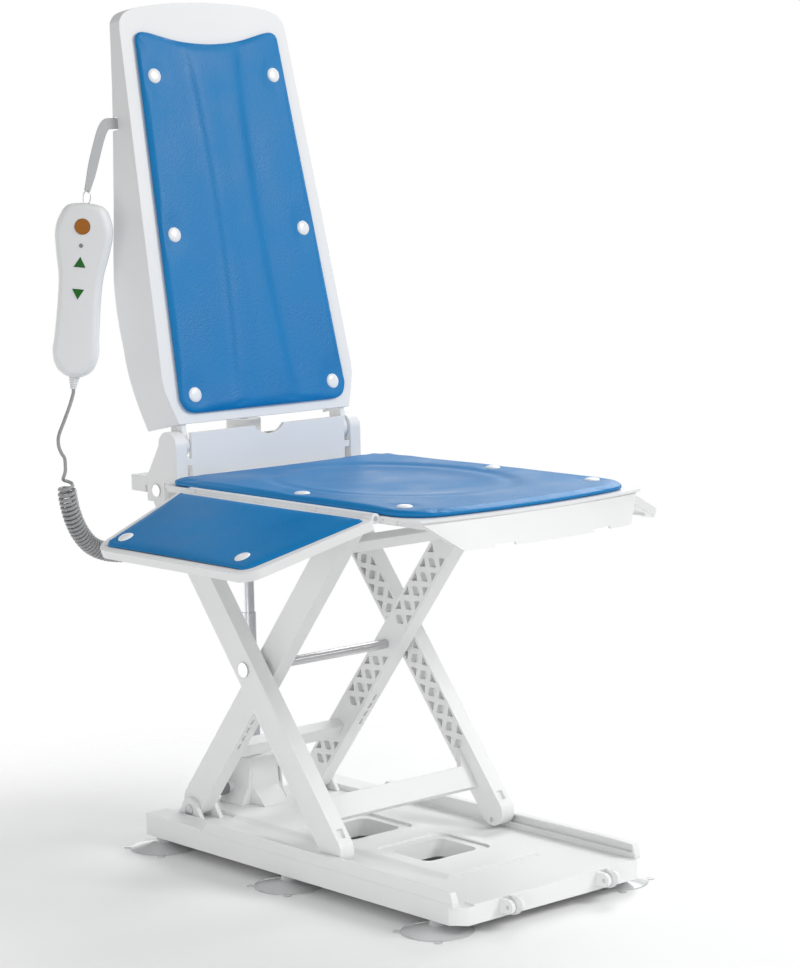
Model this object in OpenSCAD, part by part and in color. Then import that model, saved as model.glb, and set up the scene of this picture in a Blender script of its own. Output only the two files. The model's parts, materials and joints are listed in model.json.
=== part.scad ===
// Bath lift: a padded seat on a scissor frame, with a hinged backrest, two
// side flaps, a suction-cup base, a telescopic column and a corded handset.
// Millimetres, Z up, floor at Z 0, front toward -Y, sitter's right toward -X.

/* [Scissor frame] */
// Height of the lower leg pivots above the floor
pivot_z = 46; // [44:0.5:50]
// Height between the lower and the upper leg pivots
lift_rise = 410; // [400:1:416]
// Level distance between the two ends of a leg
leg_reach = 307.5; // [300:0.5:312]
// Middle of the scissor, front to back
mid_y = 84; // [80:1:90]
// Depth of a leg seen from the side
leg_depth = 36; // [32:1:37]
// Thickness of a leg
leg_t = 21; // [18:0.5:21.4]
// How far the ends of a leg stand off the line of its pivots
leg_crank = 8; // [5:0.5:9]
// Diameter of the leg pivot pins
pin_d = 10; // [8:0.5:11]
// Diameter of the axle through the middle of the scissor
axle_d = 12; // [10:0.5:14]
// Diameter of the pins on the sliding shoes
shoe_pin_d = 6; // [5:0.5:7]
// Pitch of the lattice pockets along a leg
lattice_pitch = 25; // [22:1:34]
// Depth of the lattice pockets
lattice_depth = 8; // [3:0.5:12]

/* [Base] */
// Half of the width of the base
base_half_w = 150; // [150:0.5:156]
// How far the base goes on behind the rear pivots
base_behind = 50.25; // [48.25:0.5:58.25]
// How far the base goes on ahead of the legs when they lie flat
base_ahead = 27.25; // [25.25:0.5:35.25]
// Height of the underside of the base
base_bottom_z = 14; // [12:0.5:16]
// Height of the floor that the legs stand over
lane_z = 35; // [33:0.5:35.5]
// Height of the raised middle of the base
plateau_z = 39; // [37:0.5:40]
// Distance of the raised middle from the inner legs
lane_gap = 8; // [8:0.5:14]
// Wall of the mouldings
wall = 3; // [2.4:0.2:3.2]
// Radius of a suction cup
cup_r = 42; // [36:1:46]
// Distance of the cups inside the edge of the base
cup_inset = 9; // [8:0.5:14]
// Height of the lip of a slide rail
rail_lip = 2.4; // [2:0.2:3]
// Radius of the carrying rollers
roller_r = 10; // [8:0.5:11]
// Width of a carrying roller
roller_w = 9; // [7:0.5:11]

/* [Column] */
// Outer diameter of the fixed column tube
column_d = 22; // [20:0.5:24]
// Wall of a column tube
column_wall = 1.4; // [1.2:0.1:1.5]
// Length of a column tube
column_len = 145; // [140:1:148]
// Distance of the column behind the rear pivots
column_behind = 12.75; // [10.25:0.5:14.25]

/* [Seat] */
// Thickness of the seat plate
plate_t = 3; // [2.5:0.5:3.5]
// Half of the width of the seat
seat_half_w = 174; // [170:1:176]
// Rear edge of the seat pad
pad_rear_y = 185; // [178:1:192]
// Front of the seat pad on the middle line
pad_front_y = -285; // [-288:1:-278]
// Thickness of the seat and backrest pads
pad_t = 8; // [6:0.5:9]
// Depth of the dish in the seat pad
dish = 4.5; // [2:0.5:5]
// Height of the front apron
apron_h = 35; // [30:1:40]
// Radius of the pad studs
stud_r = 9.5; // [8:0.5:11]

/* [Flaps] */
// Distance of the flap hinges outside the edge of the seat
flap_gap = 9; // [8:0.5:12]
// Reach of a flap from its hinge
flap_w = 153; // [140:1:165]
// Droop of a flap at rest
flap_droop = 21; // [15:0.5:25]
// Diameter of the flap hinge rods
rod_d = 6; // [5:0.5:7]
// Thickness of a flap moulding
flap_t = 8; // [7:0.5:9]
// Thickness of a flap pad
flap_pad_t = 5; // [4:0.5:6]

/* [Backrest] */
// Lean of the backrest from upright
lean = 12.3; // [8:0.1:16]
// Height of the backrest hinge above the upper leg pivots
hinge_rise = 56; // [54:0.5:58]
// Place of the backrest hinge, front to back
hinge_y = 214; // [213:0.5:216]
// Diameter of the backrest hinge pins
hinge_pin_d = 10; // [8:0.5:11]
// Wall of the backrest moulding
back_wall = 4; // [3:0.5:4.5]
// Distance of the backrest's front face ahead of its hinge
back_face = 16; // [15:0.5:17]

/* [Handset] */
// Length of the handset
hand_len = 212; // [200:1:218]
// Radius of its head
hand_head_r = 35; // [32:1:38]
// Radius of its tail
hand_tail_r = 28; // [25:1:30]
// Thickness of the handset
hand_t = 30; // [26:1:34]
// Radius of the stop button
stop_r = 9.5; // [8:0.5:11]
// Radius of the up and down buttons
key_r = 8; // [7:0.5:9]
// Travel of the buttons
key_travel = 1.2; // [1:0.1:1.5]
// Diameter of the cord
cord_d = 4.4; // [4:0.1:4.4]
// Radius of the curls, to the middle of the cord
curl_r = 10; // [8.5:0.5:10.5]
// Number of curls
curls = 48; // [40:1:50]

/* [Fits] */
// Radial clearance of the running pins
run_fit = 0.05; // [0.03:0.01:0.1]
// Clearance of the sliding shoes and the column tubes
slide_fit = 0.1; // [0.08:0.01:0.2]
// Clearance between parts that pass each other
side_gap = 0.6; // [0.5:0.1:0.8]

/* [Hidden] */
$fn = 64;

// Sides: the sitter's right is at -X
RIGHT = -1;
LEFT = 1;

// Scissor
leg_len = norm([leg_reach, lift_rise]);
leg_ang = atan2(lift_rise, leg_reach);
rear_y = mid_y + leg_reach / 2;
front_y = mid_y - leg_reach / 2;
top_z = pivot_z + lift_rise;
mid_z = pivot_z + lift_rise / 2;
inner_leg_x = base_half_w - 64;
outer_leg_x = inner_leg_x + 33;
inner_leg_out = inner_leg_x + leg_t;
outer_leg_out = outer_leg_x + leg_t;
leg_cap = leg_depth / 2;
// How far a leg goes on past its end pivots
leg_end = 10;

// Places that follow the frame
base_rear_y = rear_y + base_behind;
base_front_y = rear_y - leg_len - base_ahead;
plateau_half_w = inner_leg_x - lane_gap;
cup_x = base_half_w - cup_inset;
column_y = rear_y + column_behind;
flap_axis_x = seat_half_w + flap_gap;

// Sliding shoes and the rails that they run in
shoe_h = 9;
shoe_l = 14;
shoe_w = 5.7;
rail_in = outer_leg_out + 1;
shoe_low_x = rail_in + 0.3;
rail_floor = pivot_z - shoe_h / 2 - slide_fit;
rail_roof = pivot_z + shoe_h / 2 + slide_fit;
rail_seat = rail_floor - wall;
rail_top = rail_roof + rail_lip;
rail_front = base_front_y + 10;
rail_rear = rear_y - 69.75;
slot_rear = front_y + 19.75;
shoe_up_x = inner_leg_out + 0.4;
chan_in = inner_leg_out + 1;
chan_web = shoe_up_x + shoe_w + 0.4;
chan_out = outer_leg_x - 1.3;
chan_front = pad_front_y + 2;
chan_rear = front_y + 14.75;

// Seat heights
seat_z = top_z + 11;
pad_z = seat_z + plate_t;
hinge_z = top_z + hinge_rise;
apron_y = pad_front_y - 10;
front_r = 820;

// Column: each tube slides in the one below it
tube_step = column_wall * 2 + slide_fit * 2;
tube_d = [for (i = [0:3]) column_d - i * tube_step];
tube_z0 = base_bottom_z + 1;
tube_pitch = (seat_z + 61 - column_len - tube_z0) / 3;
foot_top = 98;

// Backrest lugs, towers and the cheeks round the upper pivots
cheek_out = outer_leg_out + 0.8;
cheek_t = 6.7;
tower_in = outer_leg_x + 12;
tower_out = outer_leg_out + 8;
lug_in = tower_in - 7.5;
lug_out = tower_in - 0.5;
lug_r = 14;
tower_r = 18;
panel_y = 198;
panel_half_w = tower_in - 8.5;
beam_y = rear_y + 24.25;
beam_rear_y = beam_y + 29;

// Handset, on the sitter's right
hand_c = [-219, 285, 705];
hand_turn = -45;
hand_tilt = 6;

module put() translate([0, shift_y, 0]) children();
module on_side(s) if (s < 0) mirror([1, 0, 0]) children(); else children();
module both() for (s = [-1, 1]) on_side(s) children();
module box(x0, x1, y0, y1, z0, z1)
    translate([x0, y0, z0]) cube([x1 - x0, y1 - y0, z1 - z0]);
// Extrudes a Y-Z outline along X
module slab(x0, x1)
    translate([x0, 0, 0]) rotate([90, 0, 90]) linear_extrude(x1 - x0) children();
module xpin(x0, x1, y, z, r)
    translate([x0, y, z]) rotate([0, 90, 0]) cylinder(r = r, h = x1 - x0);
module round_rect(w, h, r) {
    square([w - 2 * r, h], center = true);
    square([w, h - 2 * r], center = true);
    for (i = [-1, 1], j = [-1, 1])
        translate([i * (w / 2 - r), j * (h / 2 - r)]) circle(r);
}

// Smooth curve through points, n steps a span
function pick(p, i) = p[max(0, min(len(p) - 1, i))];
function span(p, i, t) =
    let (a = pick(p, i - 1), b = pick(p, i), c = pick(p, i + 1), d = pick(p, i + 2))
    0.5 * (2 * b + (c - a) * t + (2 * a - 5 * b + 4 * c - d) * t * t
        + (3 * b - a - 3 * c + d) * t * t * t);
function smooth(p, n) =
    [for (i = [0:len(p) - 2], k = [0:n - 1]) span(p, i, k / n), p[len(p) - 1]];
function unit(v) = v / norm(v);
function tangent(p, i) = unit(pick(p, i + 1) - pick(p, i - 1));
// Rings of a section swept along a path, square to it and upright to ref
function rings(path, sec, ref) = [for (i = [0:len(path) - 1])
    let (t = tangent(path, i), s = unit(cross(ref, t)), n = cross(t, s))
    for (q = sec) path[i] + q.x * s + q.y * n];
function ngon(r, m) = [for (k = [0:m - 1]) r * [cos(360 * k / m), sin(360 * k / m)]];
function quads(rows, m) = [for (i = [0:rows - 2], k = [0:m - 1])
    let (a = i * m + k, b = i * m + (k + 1) % m) each [[a, a + m, b], [b, a + m, b + m]]];
module sweep(path, sec, ref) {
    m = len(sec);
    n = len(path);
    polyhedron(points = rings(path, sec, ref),
        faces = concat(quads(n, m), [[for (k = [0:m - 1]) k],
            [for (k = [m - 1:-1:0]) (n - 1) * m + k]]), convexity = 10);
}

// Base
seat_fit = 0.02;
roller_x = 76.6;
roller_y = base_front_y - 11.7;
roller_z = base_bottom_z + 13.5;
roller_pin_r = 2.5;
lug_gap = 0.5;
lug_t = 5;
cheek_w = 6;
window_y = [45, -95];
window_w = 84;
window_l = 72;
latch_y = column_y + 11.5;
latch_z = 58;
latch_pin_r = 3;
latch_x = -36.4;

module tray_outline() {
    w = base_half_w;
    polygon([[-w + 8, base_rear_y], [w - 8, base_rear_y], [w, base_rear_y - 8],
        [w, base_front_y + 17], [w - 15, base_front_y], [15 - w, base_front_y],
        [-w, base_front_y + 17], [-w, base_rear_y - 8]]);
}
// Ribbed underside: a grid of pockets that leaves out the windows and the column
function in_window(x, y) =
    abs(x) < window_w / 2 + 24 && min([for (w = window_y) abs(y - w)]) < window_l / 2 + 30;
module tray_pockets() {
    nx = 6;
    ny = 10;
    px = 252 / nx;
    py = (base_rear_y - base_front_y - 40) / ny;
    for (i = [0:nx - 1], j = [0:ny - 1]) {
        x = -126 + px * (i + 0.5);
        y = base_front_y + 20 + py * (j + 0.5);
        if (!in_window(x, y) && norm([x, y - column_y]) > 45)
            translate([x, y, base_bottom_z + 6]) cube([px - 5, py - 5, 20], center = true);
    }
}
module roller_lug(x0, x1) slab(x0, x1) {
    translate([roller_y, roller_z]) circle(8);
    polygon([[roller_y, roller_z + 8], [base_front_y + 6, lane_z + 1],
        [base_front_y + 6, base_bottom_z + 5], [roller_y, roller_z - 8]]);
}
module base_tray() color("whitesmoke") put() difference() {
    union() {
        translate([0, 0, base_bottom_z]) linear_extrude(lane_z - base_bottom_z) tray_outline();
        translate([0, 200, 0]) rotate([90, 0, 0]) linear_extrude(400)
            polygon([[-plateau_half_w, lane_z - 1], [10 - plateau_half_w, plateau_z],
                [plateau_half_w - 10, plateau_z], [plateau_half_w, lane_z - 1]]);
        box(-68, 68, 195, base_rear_y - 3, lane_z - 1, plateau_z);
        box(-126, 126, base_front_y, base_front_y + 16, lane_z - 1, lane_z + 2);
        both() {
            box(rail_in, base_half_w, rail_front, rail_rear, lane_z - 1, rail_seat);
            box(118, base_half_w, rail_rear, base_rear_y - 8, lane_z - 1, lane_z + 7);
            roller_lug(roller_x + roller_w / 2 + lug_gap, roller_x + roller_w / 2 + lug_gap + lug_t);
            roller_lug(roller_x - roller_w / 2 - lug_gap - lug_t, roller_x - roller_w / 2 - lug_gap);
        }
    }
    for (y = window_y) {
        translate([0, y, base_bottom_z - 1]) linear_extrude(60) round_rect(window_w, window_l, 12);
        translate([0, y, plateau_z - 3]) linear_extrude(9) round_rect(window_w + 26, window_l + 26, 16);
    }
    tray_pockets();
    translate([0, column_y, base_bottom_z - 1]) cylinder(r = column_d / 2 + seat_fit, h = 40);
    both() {
        box(roller_x - roller_w / 2 - lug_gap, roller_x + roller_w / 2 + lug_gap,
            roller_y - roller_r - 2, roller_y + roller_r + 2, base_bottom_z - 1, lane_z + 9);
        xpin(roller_x - 20, roller_x + 20, roller_y, roller_z, roller_pin_r + seat_fit);
    }
}
module rail(s) color("white") put() on_side(s) difference() {
    slab(rail_in, base_half_w) polygon([[rail_front, rail_seat], [rail_rear, rail_seat],
        [rail_rear - 16, rail_top], [-240, rail_top], [rail_front + 4, rail_roof + 1.2],
        [rail_front, rail_floor + 1]]);
    box(rail_in - 1, base_half_w - 2.6, rail_front + 5, slot_rear, rail_floor, rail_roof);
}
module rail_right() rail(RIGHT);
module rail_left() rail(LEFT);
module cheek(x0) slab(x0, x0 + cheek_w) difference() {
    union() {
        polygon([[rear_y - 26, lane_z], [rear_y + 26, lane_z], [rear_y + 15, pivot_z + 5],
            [rear_y - 15, pivot_z + 5]]);
        intersection() {
            translate([rear_y, pivot_z]) circle(16);
            translate([rear_y - 30, lane_z]) square([60, 60]);
        }
    }
    translate([rear_y, pivot_z]) circle(pin_d / 2 + seat_fit);
}
module pivot_bracket(s) color("white") put() on_side(s) {
    cheek(inner_leg_out + side_gap);
    cheek(inner_leg_x - side_gap - cheek_w);
}
module pivot_bracket_right() pivot_bracket(RIGHT);
module pivot_bracket_left() pivot_bracket(LEFT);
module base_pins() color("lightgray") put() both() {
    x0 = inner_leg_x - side_gap - cheek_w;
    x1 = inner_leg_out + side_gap + cheek_w;
    xpin(x0, x1, rear_y, pivot_z, pin_d / 2);
    xpin(x1, x1 + 1.6, rear_y, pivot_z, pin_d / 2 + 2.5);
    reach = roller_w / 2 + lug_gap + lug_t;
    xpin(roller_x - reach, roller_x + reach, roller_y, roller_z, roller_pin_r);
}
// Suction cup: thin bell, neck and two pull tabs
module cup(s, y) color("gainsboro") put() on_side(s) translate([cup_x, y, 0]) {
    rotate_extrude() polygon([[0, 5.2], [13, 4.6], [cup_r * 0.6, 2.6], [cup_r - 5, 0.6], [cup_r - 3, 0],
        [cup_r, 0], [cup_r, 1.2], [cup_r * 0.62, 5], [16, 7.4], [9, 8.4], [9, base_bottom_z],
        [0, base_bottom_z]]);
    box(cup_r - 1.5, cup_r + 9, -5, 5, 0, 1.2);
    rotate([0, 0, -110]) box(cup_r - 1.5, cup_r + 8, -4.5, 4.5, 0, 1.2);
}
cup_y = [-256.5, 7.5, 256.5];
module cup_front_right() cup(RIGHT, cup_y[0]);
module cup_front_left() cup(LEFT, cup_y[0]);
module cup_mid_right() cup(RIGHT, cup_y[1]);
module cup_mid_left() cup(LEFT, cup_y[1]);
module cup_rear_right() cup(RIGHT, cup_y[2]);
module cup_rear_left() cup(LEFT, cup_y[2]);
module column_foot() color("white") put() difference() {
    union() {
        translate([0, column_y + 24, 0]) rotate([90, 0, 0]) linear_extrude(46)
            polygon([[-38, plateau_z], [38, plateau_z], [25, 62], [22, foot_top],
                [-22, foot_top], [-25, 62]]);
        slab(-20, 20) polygon([[column_y - 48, plateau_z], [base_rear_y - 4, plateau_z],
            [column_y + 27, 60], [column_y + 24, foot_top], [column_y - 22, foot_top], [column_y - 26, 60]]);
        xpin(latch_x + side_gap, -20, latch_y, latch_z, 7);
        box(26, 36, column_y - 14, column_y - 2, plateau_z, 84);
    }
    translate([0, column_y, 0]) cylinder(r = column_d / 2 + seat_fit, h = 150);
    xpin(latch_x - 1, latch_x + 15, latch_y, latch_z, latch_pin_r + run_fit);
    box(30, 33, column_y - 20, column_y, 44, 78);
}
module column_tube(i) color("silver") put() translate([0, column_y, tube_z0 + i * tube_pitch]) difference() {
    cylinder(r = tube_d[i] / 2, h = column_len);
    translate([0, 0, -1]) cylinder(r = tube_d[i] / 2 - column_wall, h = column_len + 2);
}
module column_tube_base() column_tube(0);
module column_tube_low() column_tube(1);
module column_tube_mid() column_tube(2);
module column_tube_top() column_tube(3);
module roller(s) color("gainsboro") put() on_side(s)
    translate([roller_x - roller_w / 2, roller_y, roller_z]) rotate([0, 90, 0]) rotate_extrude()
    polygon([[roller_pin_r + run_fit, 0], [roller_r - 1.2, 0], [roller_r, 1.2], [roller_r, roller_w - 1.2],
        [roller_r - 1.2, roller_w], [roller_pin_r + run_fit, roller_w]]);
module roller_right() roller(RIGHT);
module roller_left() roller(LEFT);
module foot_latch() color("darkgray") put() {
    slab(latch_x - 10, latch_x) {
        translate([latch_y, latch_z]) circle(9);
        polygon([[latch_y - 4, latch_z - 8], [latch_y + 4, latch_z - 8], [latch_y + 36, latch_z - 1],
            [latch_y + 40, latch_z + 8], [latch_y + 32, latch_z + 14], [latch_y, latch_z + 9]]);
    }
    slab(latch_x - 14, latch_x - 2) polygon([[latch_y + 30, latch_z + 1], [latch_y + 38, latch_z + 4],
        [latch_y + 40, latch_z + 17], [latch_y + 33, latch_z + 17]]);
    xpin(latch_x - 1, latch_x + 14, latch_y, latch_z, latch_pin_r);
}

// Scissor legs, drawn along the line of their pivots
shoe_hole = shoe_pin_d / 2 + run_fit;
module leg_outline() let (e = -leg_end, r = leg_cap - 0.2)
    polygon(rounded([[e, leg_crank + leg_cap], [leg_len - e, leg_cap - leg_crank],
        [leg_len - e, -leg_crank - leg_cap], [e, leg_crank - leg_cap]], [r, r, r, r], 10));
// Middle line of a leg at a distance along it
function leg_mid(s) = leg_crank * (1 - 2 * s / leg_len);
module lattice(s0, s1) {
    n = floor((s1 - s0) / lattice_pitch);
    h = leg_cap - 4;
    p = lattice_pitch;
    for (i = [0:n - 1]) let (s = s0 + p * (i + 0.5), t = leg_mid(s)) if (abs(s - leg_len / 2) > 22) {
        translate([s, t]) polygon([[-p * 0.26, 0], [-p * 0.06, -h * 0.55], [p * 0.06, -h * 0.55],
            [p * 0.26, 0], [p * 0.06, h * 0.55], [-p * 0.06, h * 0.55]]);
        for (k = [-1, 1]) translate([s + p / 2, t + k * h])
            polygon([[-p * 0.3, 0], [p * 0.3, 0], [0, -k * h * 0.6]]);
    }
}
// Frame of the outer (front to rear) legs; the inner legs mirror it
module outer_frame() translate([front_y, pivot_z]) rotate(leg_ang) children();
module inner_frame() translate([rear_y, pivot_z]) mirror([1, 0]) rotate(leg_ang) children();
module leg_holes(low, high) {
    circle(low);
    translate([leg_len, 0]) circle(high);
    translate([leg_len / 2, 0]) circle(axle_d / 2 + run_fit);
}
module inner_leg(s) color("white") put() on_side(s) difference() {
    slab(inner_leg_x, inner_leg_out) inner_frame() difference() {
        leg_outline();
        leg_holes(pin_d / 2 + run_fit, shoe_hole);
    }
    slab(inner_leg_x - 1, inner_leg_x + lattice_depth) inner_frame() {
        lattice(28, 78);
        lattice(138, leg_len - 88);
    }
    for (i = [0:3]) slab(inner_leg_x + 11, inner_leg_x + 15) inner_frame()
        translate([122 + i * 15, leg_mid(128 + i * 15) - leg_cap - 1]) square([10, 5]);
}
module inner_leg_right() inner_leg(RIGHT);
module inner_leg_left() inner_leg(LEFT);
module outer_leg(s) color("white") put() on_side(s) difference() {
    slab(outer_leg_x, outer_leg_out) outer_frame() difference() {
        leg_outline();
        leg_holes(shoe_hole, pin_d / 2 + run_fit);
    }
    slab(outer_leg_x - 1, outer_leg_x + lattice_depth) outer_frame() lattice(92, leg_len - 40);
    slab(outer_leg_x + 6, outer_leg_x + 14) outer_frame()
        translate([14, leg_mid(20) + leg_cap - 4]) square([12, 5]);
}
module outer_leg_right() outer_leg(RIGHT);
module outer_leg_left() outer_leg(LEFT);
bar_low_s = 100;
bar_top_s = leg_len - 55;
bar_out_s = 60;
module bar_lattice(half) for (i = [-floor(half / 20):floor(half / 20)]) translate([i * 20, 0])
    for (k = [-1, 1]) polygon([[-7, k * 6], [7, k * 6], [0, k * 1]]);
module inner_crossbar_low() color("whitesmoke") put() difference() {
    slab(-inner_leg_x, inner_leg_x) inner_frame() translate([bar_low_s, 4]) square([22, 14], center = true);
    translate([0, rear_y, pivot_z]) rotate([-(90 - leg_ang), 0, 0]) mirror([0, 1, 0])
        translate([0, 6, bar_low_s]) rotate([-90, 0, 0]) linear_extrude(9) bar_lattice(inner_leg_x - 14);
}
module inner_crossbar_top() color("whitesmoke") put() slab(-inner_leg_x, inner_leg_x)
    inner_frame() translate([bar_top_s, -6]) square([18, 12], center = true);
module scissor_axle() color("gainsboro") put() {
    xpin(-outer_leg_out - 1, outer_leg_out + 1, mid_y, mid_z, axle_d / 2);
    both() xpin(outer_leg_out + 0.3, outer_leg_out + 2, mid_y, mid_z, axle_d / 2 + 3);
}
module outer_crossbar() color("white") put() {
    slab(-outer_leg_x, outer_leg_x) outer_frame() translate([bar_out_s, 0]) square([30, 10], center = true);
    both() translate([0, front_y, pivot_z]) rotate([leg_ang, 0, 0]) translate([0, 0, -5]) linear_extrude(10)
        polygon([[inner_leg_out + side_gap, bar_out_s + 15], [outer_leg_x, bar_out_s + 15],
            [outer_leg_x, bar_out_s + 40]]);
}
module shoe(x0, pin_x, y, z) {
    box(x0, x0 + shoe_w, y - shoe_l / 2, y + shoe_l / 2, z - shoe_h / 2, z + shoe_h / 2);
    xpin(pin_x, x0 + 1, y, z, shoe_pin_d / 2);
}
module lower_shoes() color("gainsboro") put() both() shoe(shoe_low_x, outer_leg_x + 2, front_y, pivot_z);
module upper_shoes() color("gainsboro") put() both() shoe(shoe_up_x, inner_leg_x + 2, front_y, top_z);

// Outline with rounded corners: points in order, one radius for each
function corner(a, p, b, r, n) = r == 0 ? [p] :
    let (u = unit(a - p), v = unit(b - p), g = acos(u * v), o = 180 - g,
        c = p + unit(u + v) * (r / sin(g / 2)), w0 = p + u * (r / tan(g / 2)) - c,
        w1 = p + v * (r / tan(g / 2)) - c)
    [for (k = [0:n]) c + (sin((1 - k / n) * o) * w0 + sin(k / n * o) * w1) / sin(o)];
function rounded(p, r, n = 6) = [for (i = [0:len(p) - 1])
    each corner(p[(i + len(p) - 1) % len(p)], p[i], p[(i + 1) % len(p)], r[i], n)];
function ramp(t) = let (q = max(0, min(1, t))) q * q * (3 - 2 * q);

// Pad: a grid of points over its outline, with a top, rounded sides and a flat back
function grid_faces(nx, ny, base, up) = [for (j = [0:ny - 2], i = [0:nx - 2])
    let (a = base + j * nx + i, b = a + 1, c = a + nx, d = c + 1)
    each up ? [[a, c, b], [b, c, d]] : [[a, b, c], [b, d, c]]];
function rim(nx, ny) = concat([for (i = [0:nx - 1]) i], [for (j = [1:ny - 1]) j * nx + nx - 1],
    [for (i = [nx - 2:-1:0]) (ny - 1) * nx + i], [for (j = [ny - 2:-1:1]) j * nx]);
function band(lo, hi) = [for (k = [0:len(lo) - 1]) let (m = (k + 1) % len(lo))
    each [[lo[k], hi[k], lo[m]], [lo[m], hi[k], hi[m]]]];
// at(u, v) gives a place on the outline, top(x, y) the height there
module pad_mesh(at, top, us, vs, edge, mid) {
    nx = len(us);
    ny = len(vs);
    n = nx * ny;
    r = rim(nx, ny);
    full = [for (v = vs, u = us) at(u, v, 0)];
    skin = [for (v = vs, u = us) let (q = at(u, v, edge)) [q.x, q.y, top(q.x, q.y)]];
    back = [for (v = vs, u = us) let (q = at(u, v, edge / 2)) [q.x, q.y, 0]];
    side = [for (k = r) [full[k].x, full[k].y, mid]];
    lift = [for (k = [0:len(r) - 1]) 2 * n + k];
    polyhedron(points = concat(skin, back, side), convexity = 6,
        faces = concat(grid_faces(nx, ny, 0, true), grid_faces(nx, ny, n, false),
            band(lift, r), band([for (k = r) n + k], lift)));
}
dense = [-1, -0.94, -0.86, -0.76, -0.64, -0.5, -0.36, -0.22, -0.08, 0.08, 0.22, 0.36, 0.5, 0.64, 0.76, 0.86,
    0.94, 1];

// Seat
ear_y = [-214, -118, -22, 106];
ear_l = 16;
ear_r = 6;
rod_z = seat_z + 1;
stud_h = 2.4;
seat_studs_at = [[seat_half_w - 23, -48], [seat_half_w - 26.5, -222]];
wing_x = seat_half_w - 3;
seat_rib_x = outer_leg_out + 2;
apron_z = pad_z - apron_h;
function front_sag(x) = front_r - sqrt(front_r * front_r - x * x);
module front_disc(r, z0, z1) translate([0, apron_y + front_r, z0]) cylinder(r = r, h = z1 - z0, $fn = 256);
// The apron leans forward and narrows downwards; its flanks arch up towards the flaps
apron_lean = 32;
apron_half_w = wing_x - 40;
flank_rear = apron_y + 66;
module lean_disc(r, over = 0) translate([0, apron_y + 1.5, seat_z]) rotate([-apron_lean, 0, 0])
    translate([0, front_r, -80 - over]) cylinder(r = r, h = 160 + 2 * over, $fn = 256);
module front_cut(rear_y) translate([0, rear_y, 0]) rotate([90, 0, 0]) linear_extrude(150) children();
module seat_shell() color("white") put() difference() {
    union() {
        intersection() {
            front_disc(front_r, seat_z, pad_z);
            translate([0, 0, seat_z]) linear_extrude(plate_t) polygon(rounded(
                [[-seat_half_w, hinge_y - tower_r], [seat_half_w, hinge_y - tower_r],
                    [seat_half_w, apron_y - 5], [-seat_half_w, apron_y - 5]], [16, 16, 34, 34]));
        }
        intersection() {
            difference() {
                lean_disc(front_r);
                lean_disc(front_r - wall, 1);
            }
            front_cut(-200) polygon([[-apron_half_w, apron_z], [apron_half_w, apron_z],
                [wing_x, seat_z + 1], [-wing_x, seat_z + 1]]);
        }
        both() {
            intersection() {
                lean_disc(front_r - 1);
                front_cut(flank_rear) polygon([[apron_half_w - wall - 2, apron_z],
                    [apron_half_w - 0.6, apron_z], [wing_x - 0.6, seat_z + 1.5],
                    [wing_x - wall - 2, seat_z + 1.5]]);
                slab(0, wing_x) polygon([[apron_y - 40, apron_z + 0.5], [apron_y - 6, apron_z + 0.5],
                    [apron_y + 12, apron_z + 8], [apron_y + 26, seat_z - 10], [apron_y + 52, seat_z - 6],
                    [flank_rear + 1, seat_z - 6], [flank_rear + 1, seat_z + 1.2],
                    [apron_y - 40, seat_z + 1.2]]);
            }
            slab(wing_x - wall, wing_x) polygon([[flank_rear - 4, seat_z + 0.8],
                [flank_rear - 4, seat_z - 5.5], [pad_rear_y, seat_z - 5.5], [pad_rear_y, seat_z + 0.8]]);
            box(seat_rib_x, seat_rib_x + wall, -180, 190, seat_z - 12, seat_z);
            for (y = [-170:50:130])
                box(seat_rib_x + wall, wing_x - wall, y, y + wall, seat_z - 10, seat_z);
            for (y = ear_y) flap_ear(y, seat_half_w - 2, rod_z);
        }
        for (x = [-72, -36, 0, 36, 72]) box(x - 1.5, x + 1.5, -186, 150, seat_z - 10, seat_z);
        for (y = [-180, -100, -20, 60, 140]) box(-72, 72, y - 1.5, y + 1.5, seat_z - 10, seat_z);
    }
    both() translate([flap_axis_x, 0, rod_z]) rotate([90, 0, 0])
        cylinder(r = rod_d / 2 + seat_fit, h = 700, center = true);
    both() box(61, 91, apron_y - 40, apron_y + 20, apron_z - 1, apron_z + 3);
}
module flap_ear(y, x0, z) translate([0, y + ear_l, 0]) rotate([90, 0, 0]) linear_extrude(ear_l) {
    translate([flap_axis_x, z]) circle(ear_r);
    translate([x0, z - 4]) square([flap_axis_x - x0, pad_z - z + 4]);
}
module flap_rods() color("lightgray") put() both() translate([flap_axis_x, ear_y[3] + ear_l, rod_z])
    rotate([90, 0, 0]) cylinder(r = rod_d / 2, h = ear_y[3] + ear_l - ear_y[0]);
// Seat pad with its dish
pad_gap = 0.5;
pad_half_w = seat_half_w - pad_gap;
function seat_end(x, y0, r, k) = let (d = max(0, abs(x) - (pad_half_w - r)))
    y0 + k * (r - sqrt(max(0, r * r - d * d)));
seat_at = function(u, v, e) let (x = u * pad_half_w, g = u * (pad_half_w - e),
    a = seat_end(x, pad_front_y, 36, 1) + front_sag(x) + e, b = seat_end(x, pad_rear_y, 18, -1) - e)
    [g, a + (b - a) * (v + 1) / 2];
seat_top = function(x, y) let (q = norm([x / 128, (y + 30) / 175]))
    pad_t - dish * ramp((1 - q) / 0.34) - 0.8 * ramp((-y - 225) / 60);
module seat_pad() color("cornflowerblue") put() translate([0, 0, pad_z])
    pad_mesh(seat_at, seat_top, dense, concat([-1, -0.97], [for (i = [1:17]) -1 + i / 9], [0.97, 1]), 2.2,
        pad_t - 3.2);
module stud() rotate_extrude() polygon([[0, 0], [stud_r, 0], [stud_r, 0.8], [stud_r - 1.2, 1.8],
    [stud_r - 4, stud_h], [0, stud_h]]);
module seat_studs() color("white") put() both() for (p = seat_studs_at)
    translate([p.x, p.y, pad_z + pad_t]) stud();
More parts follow.
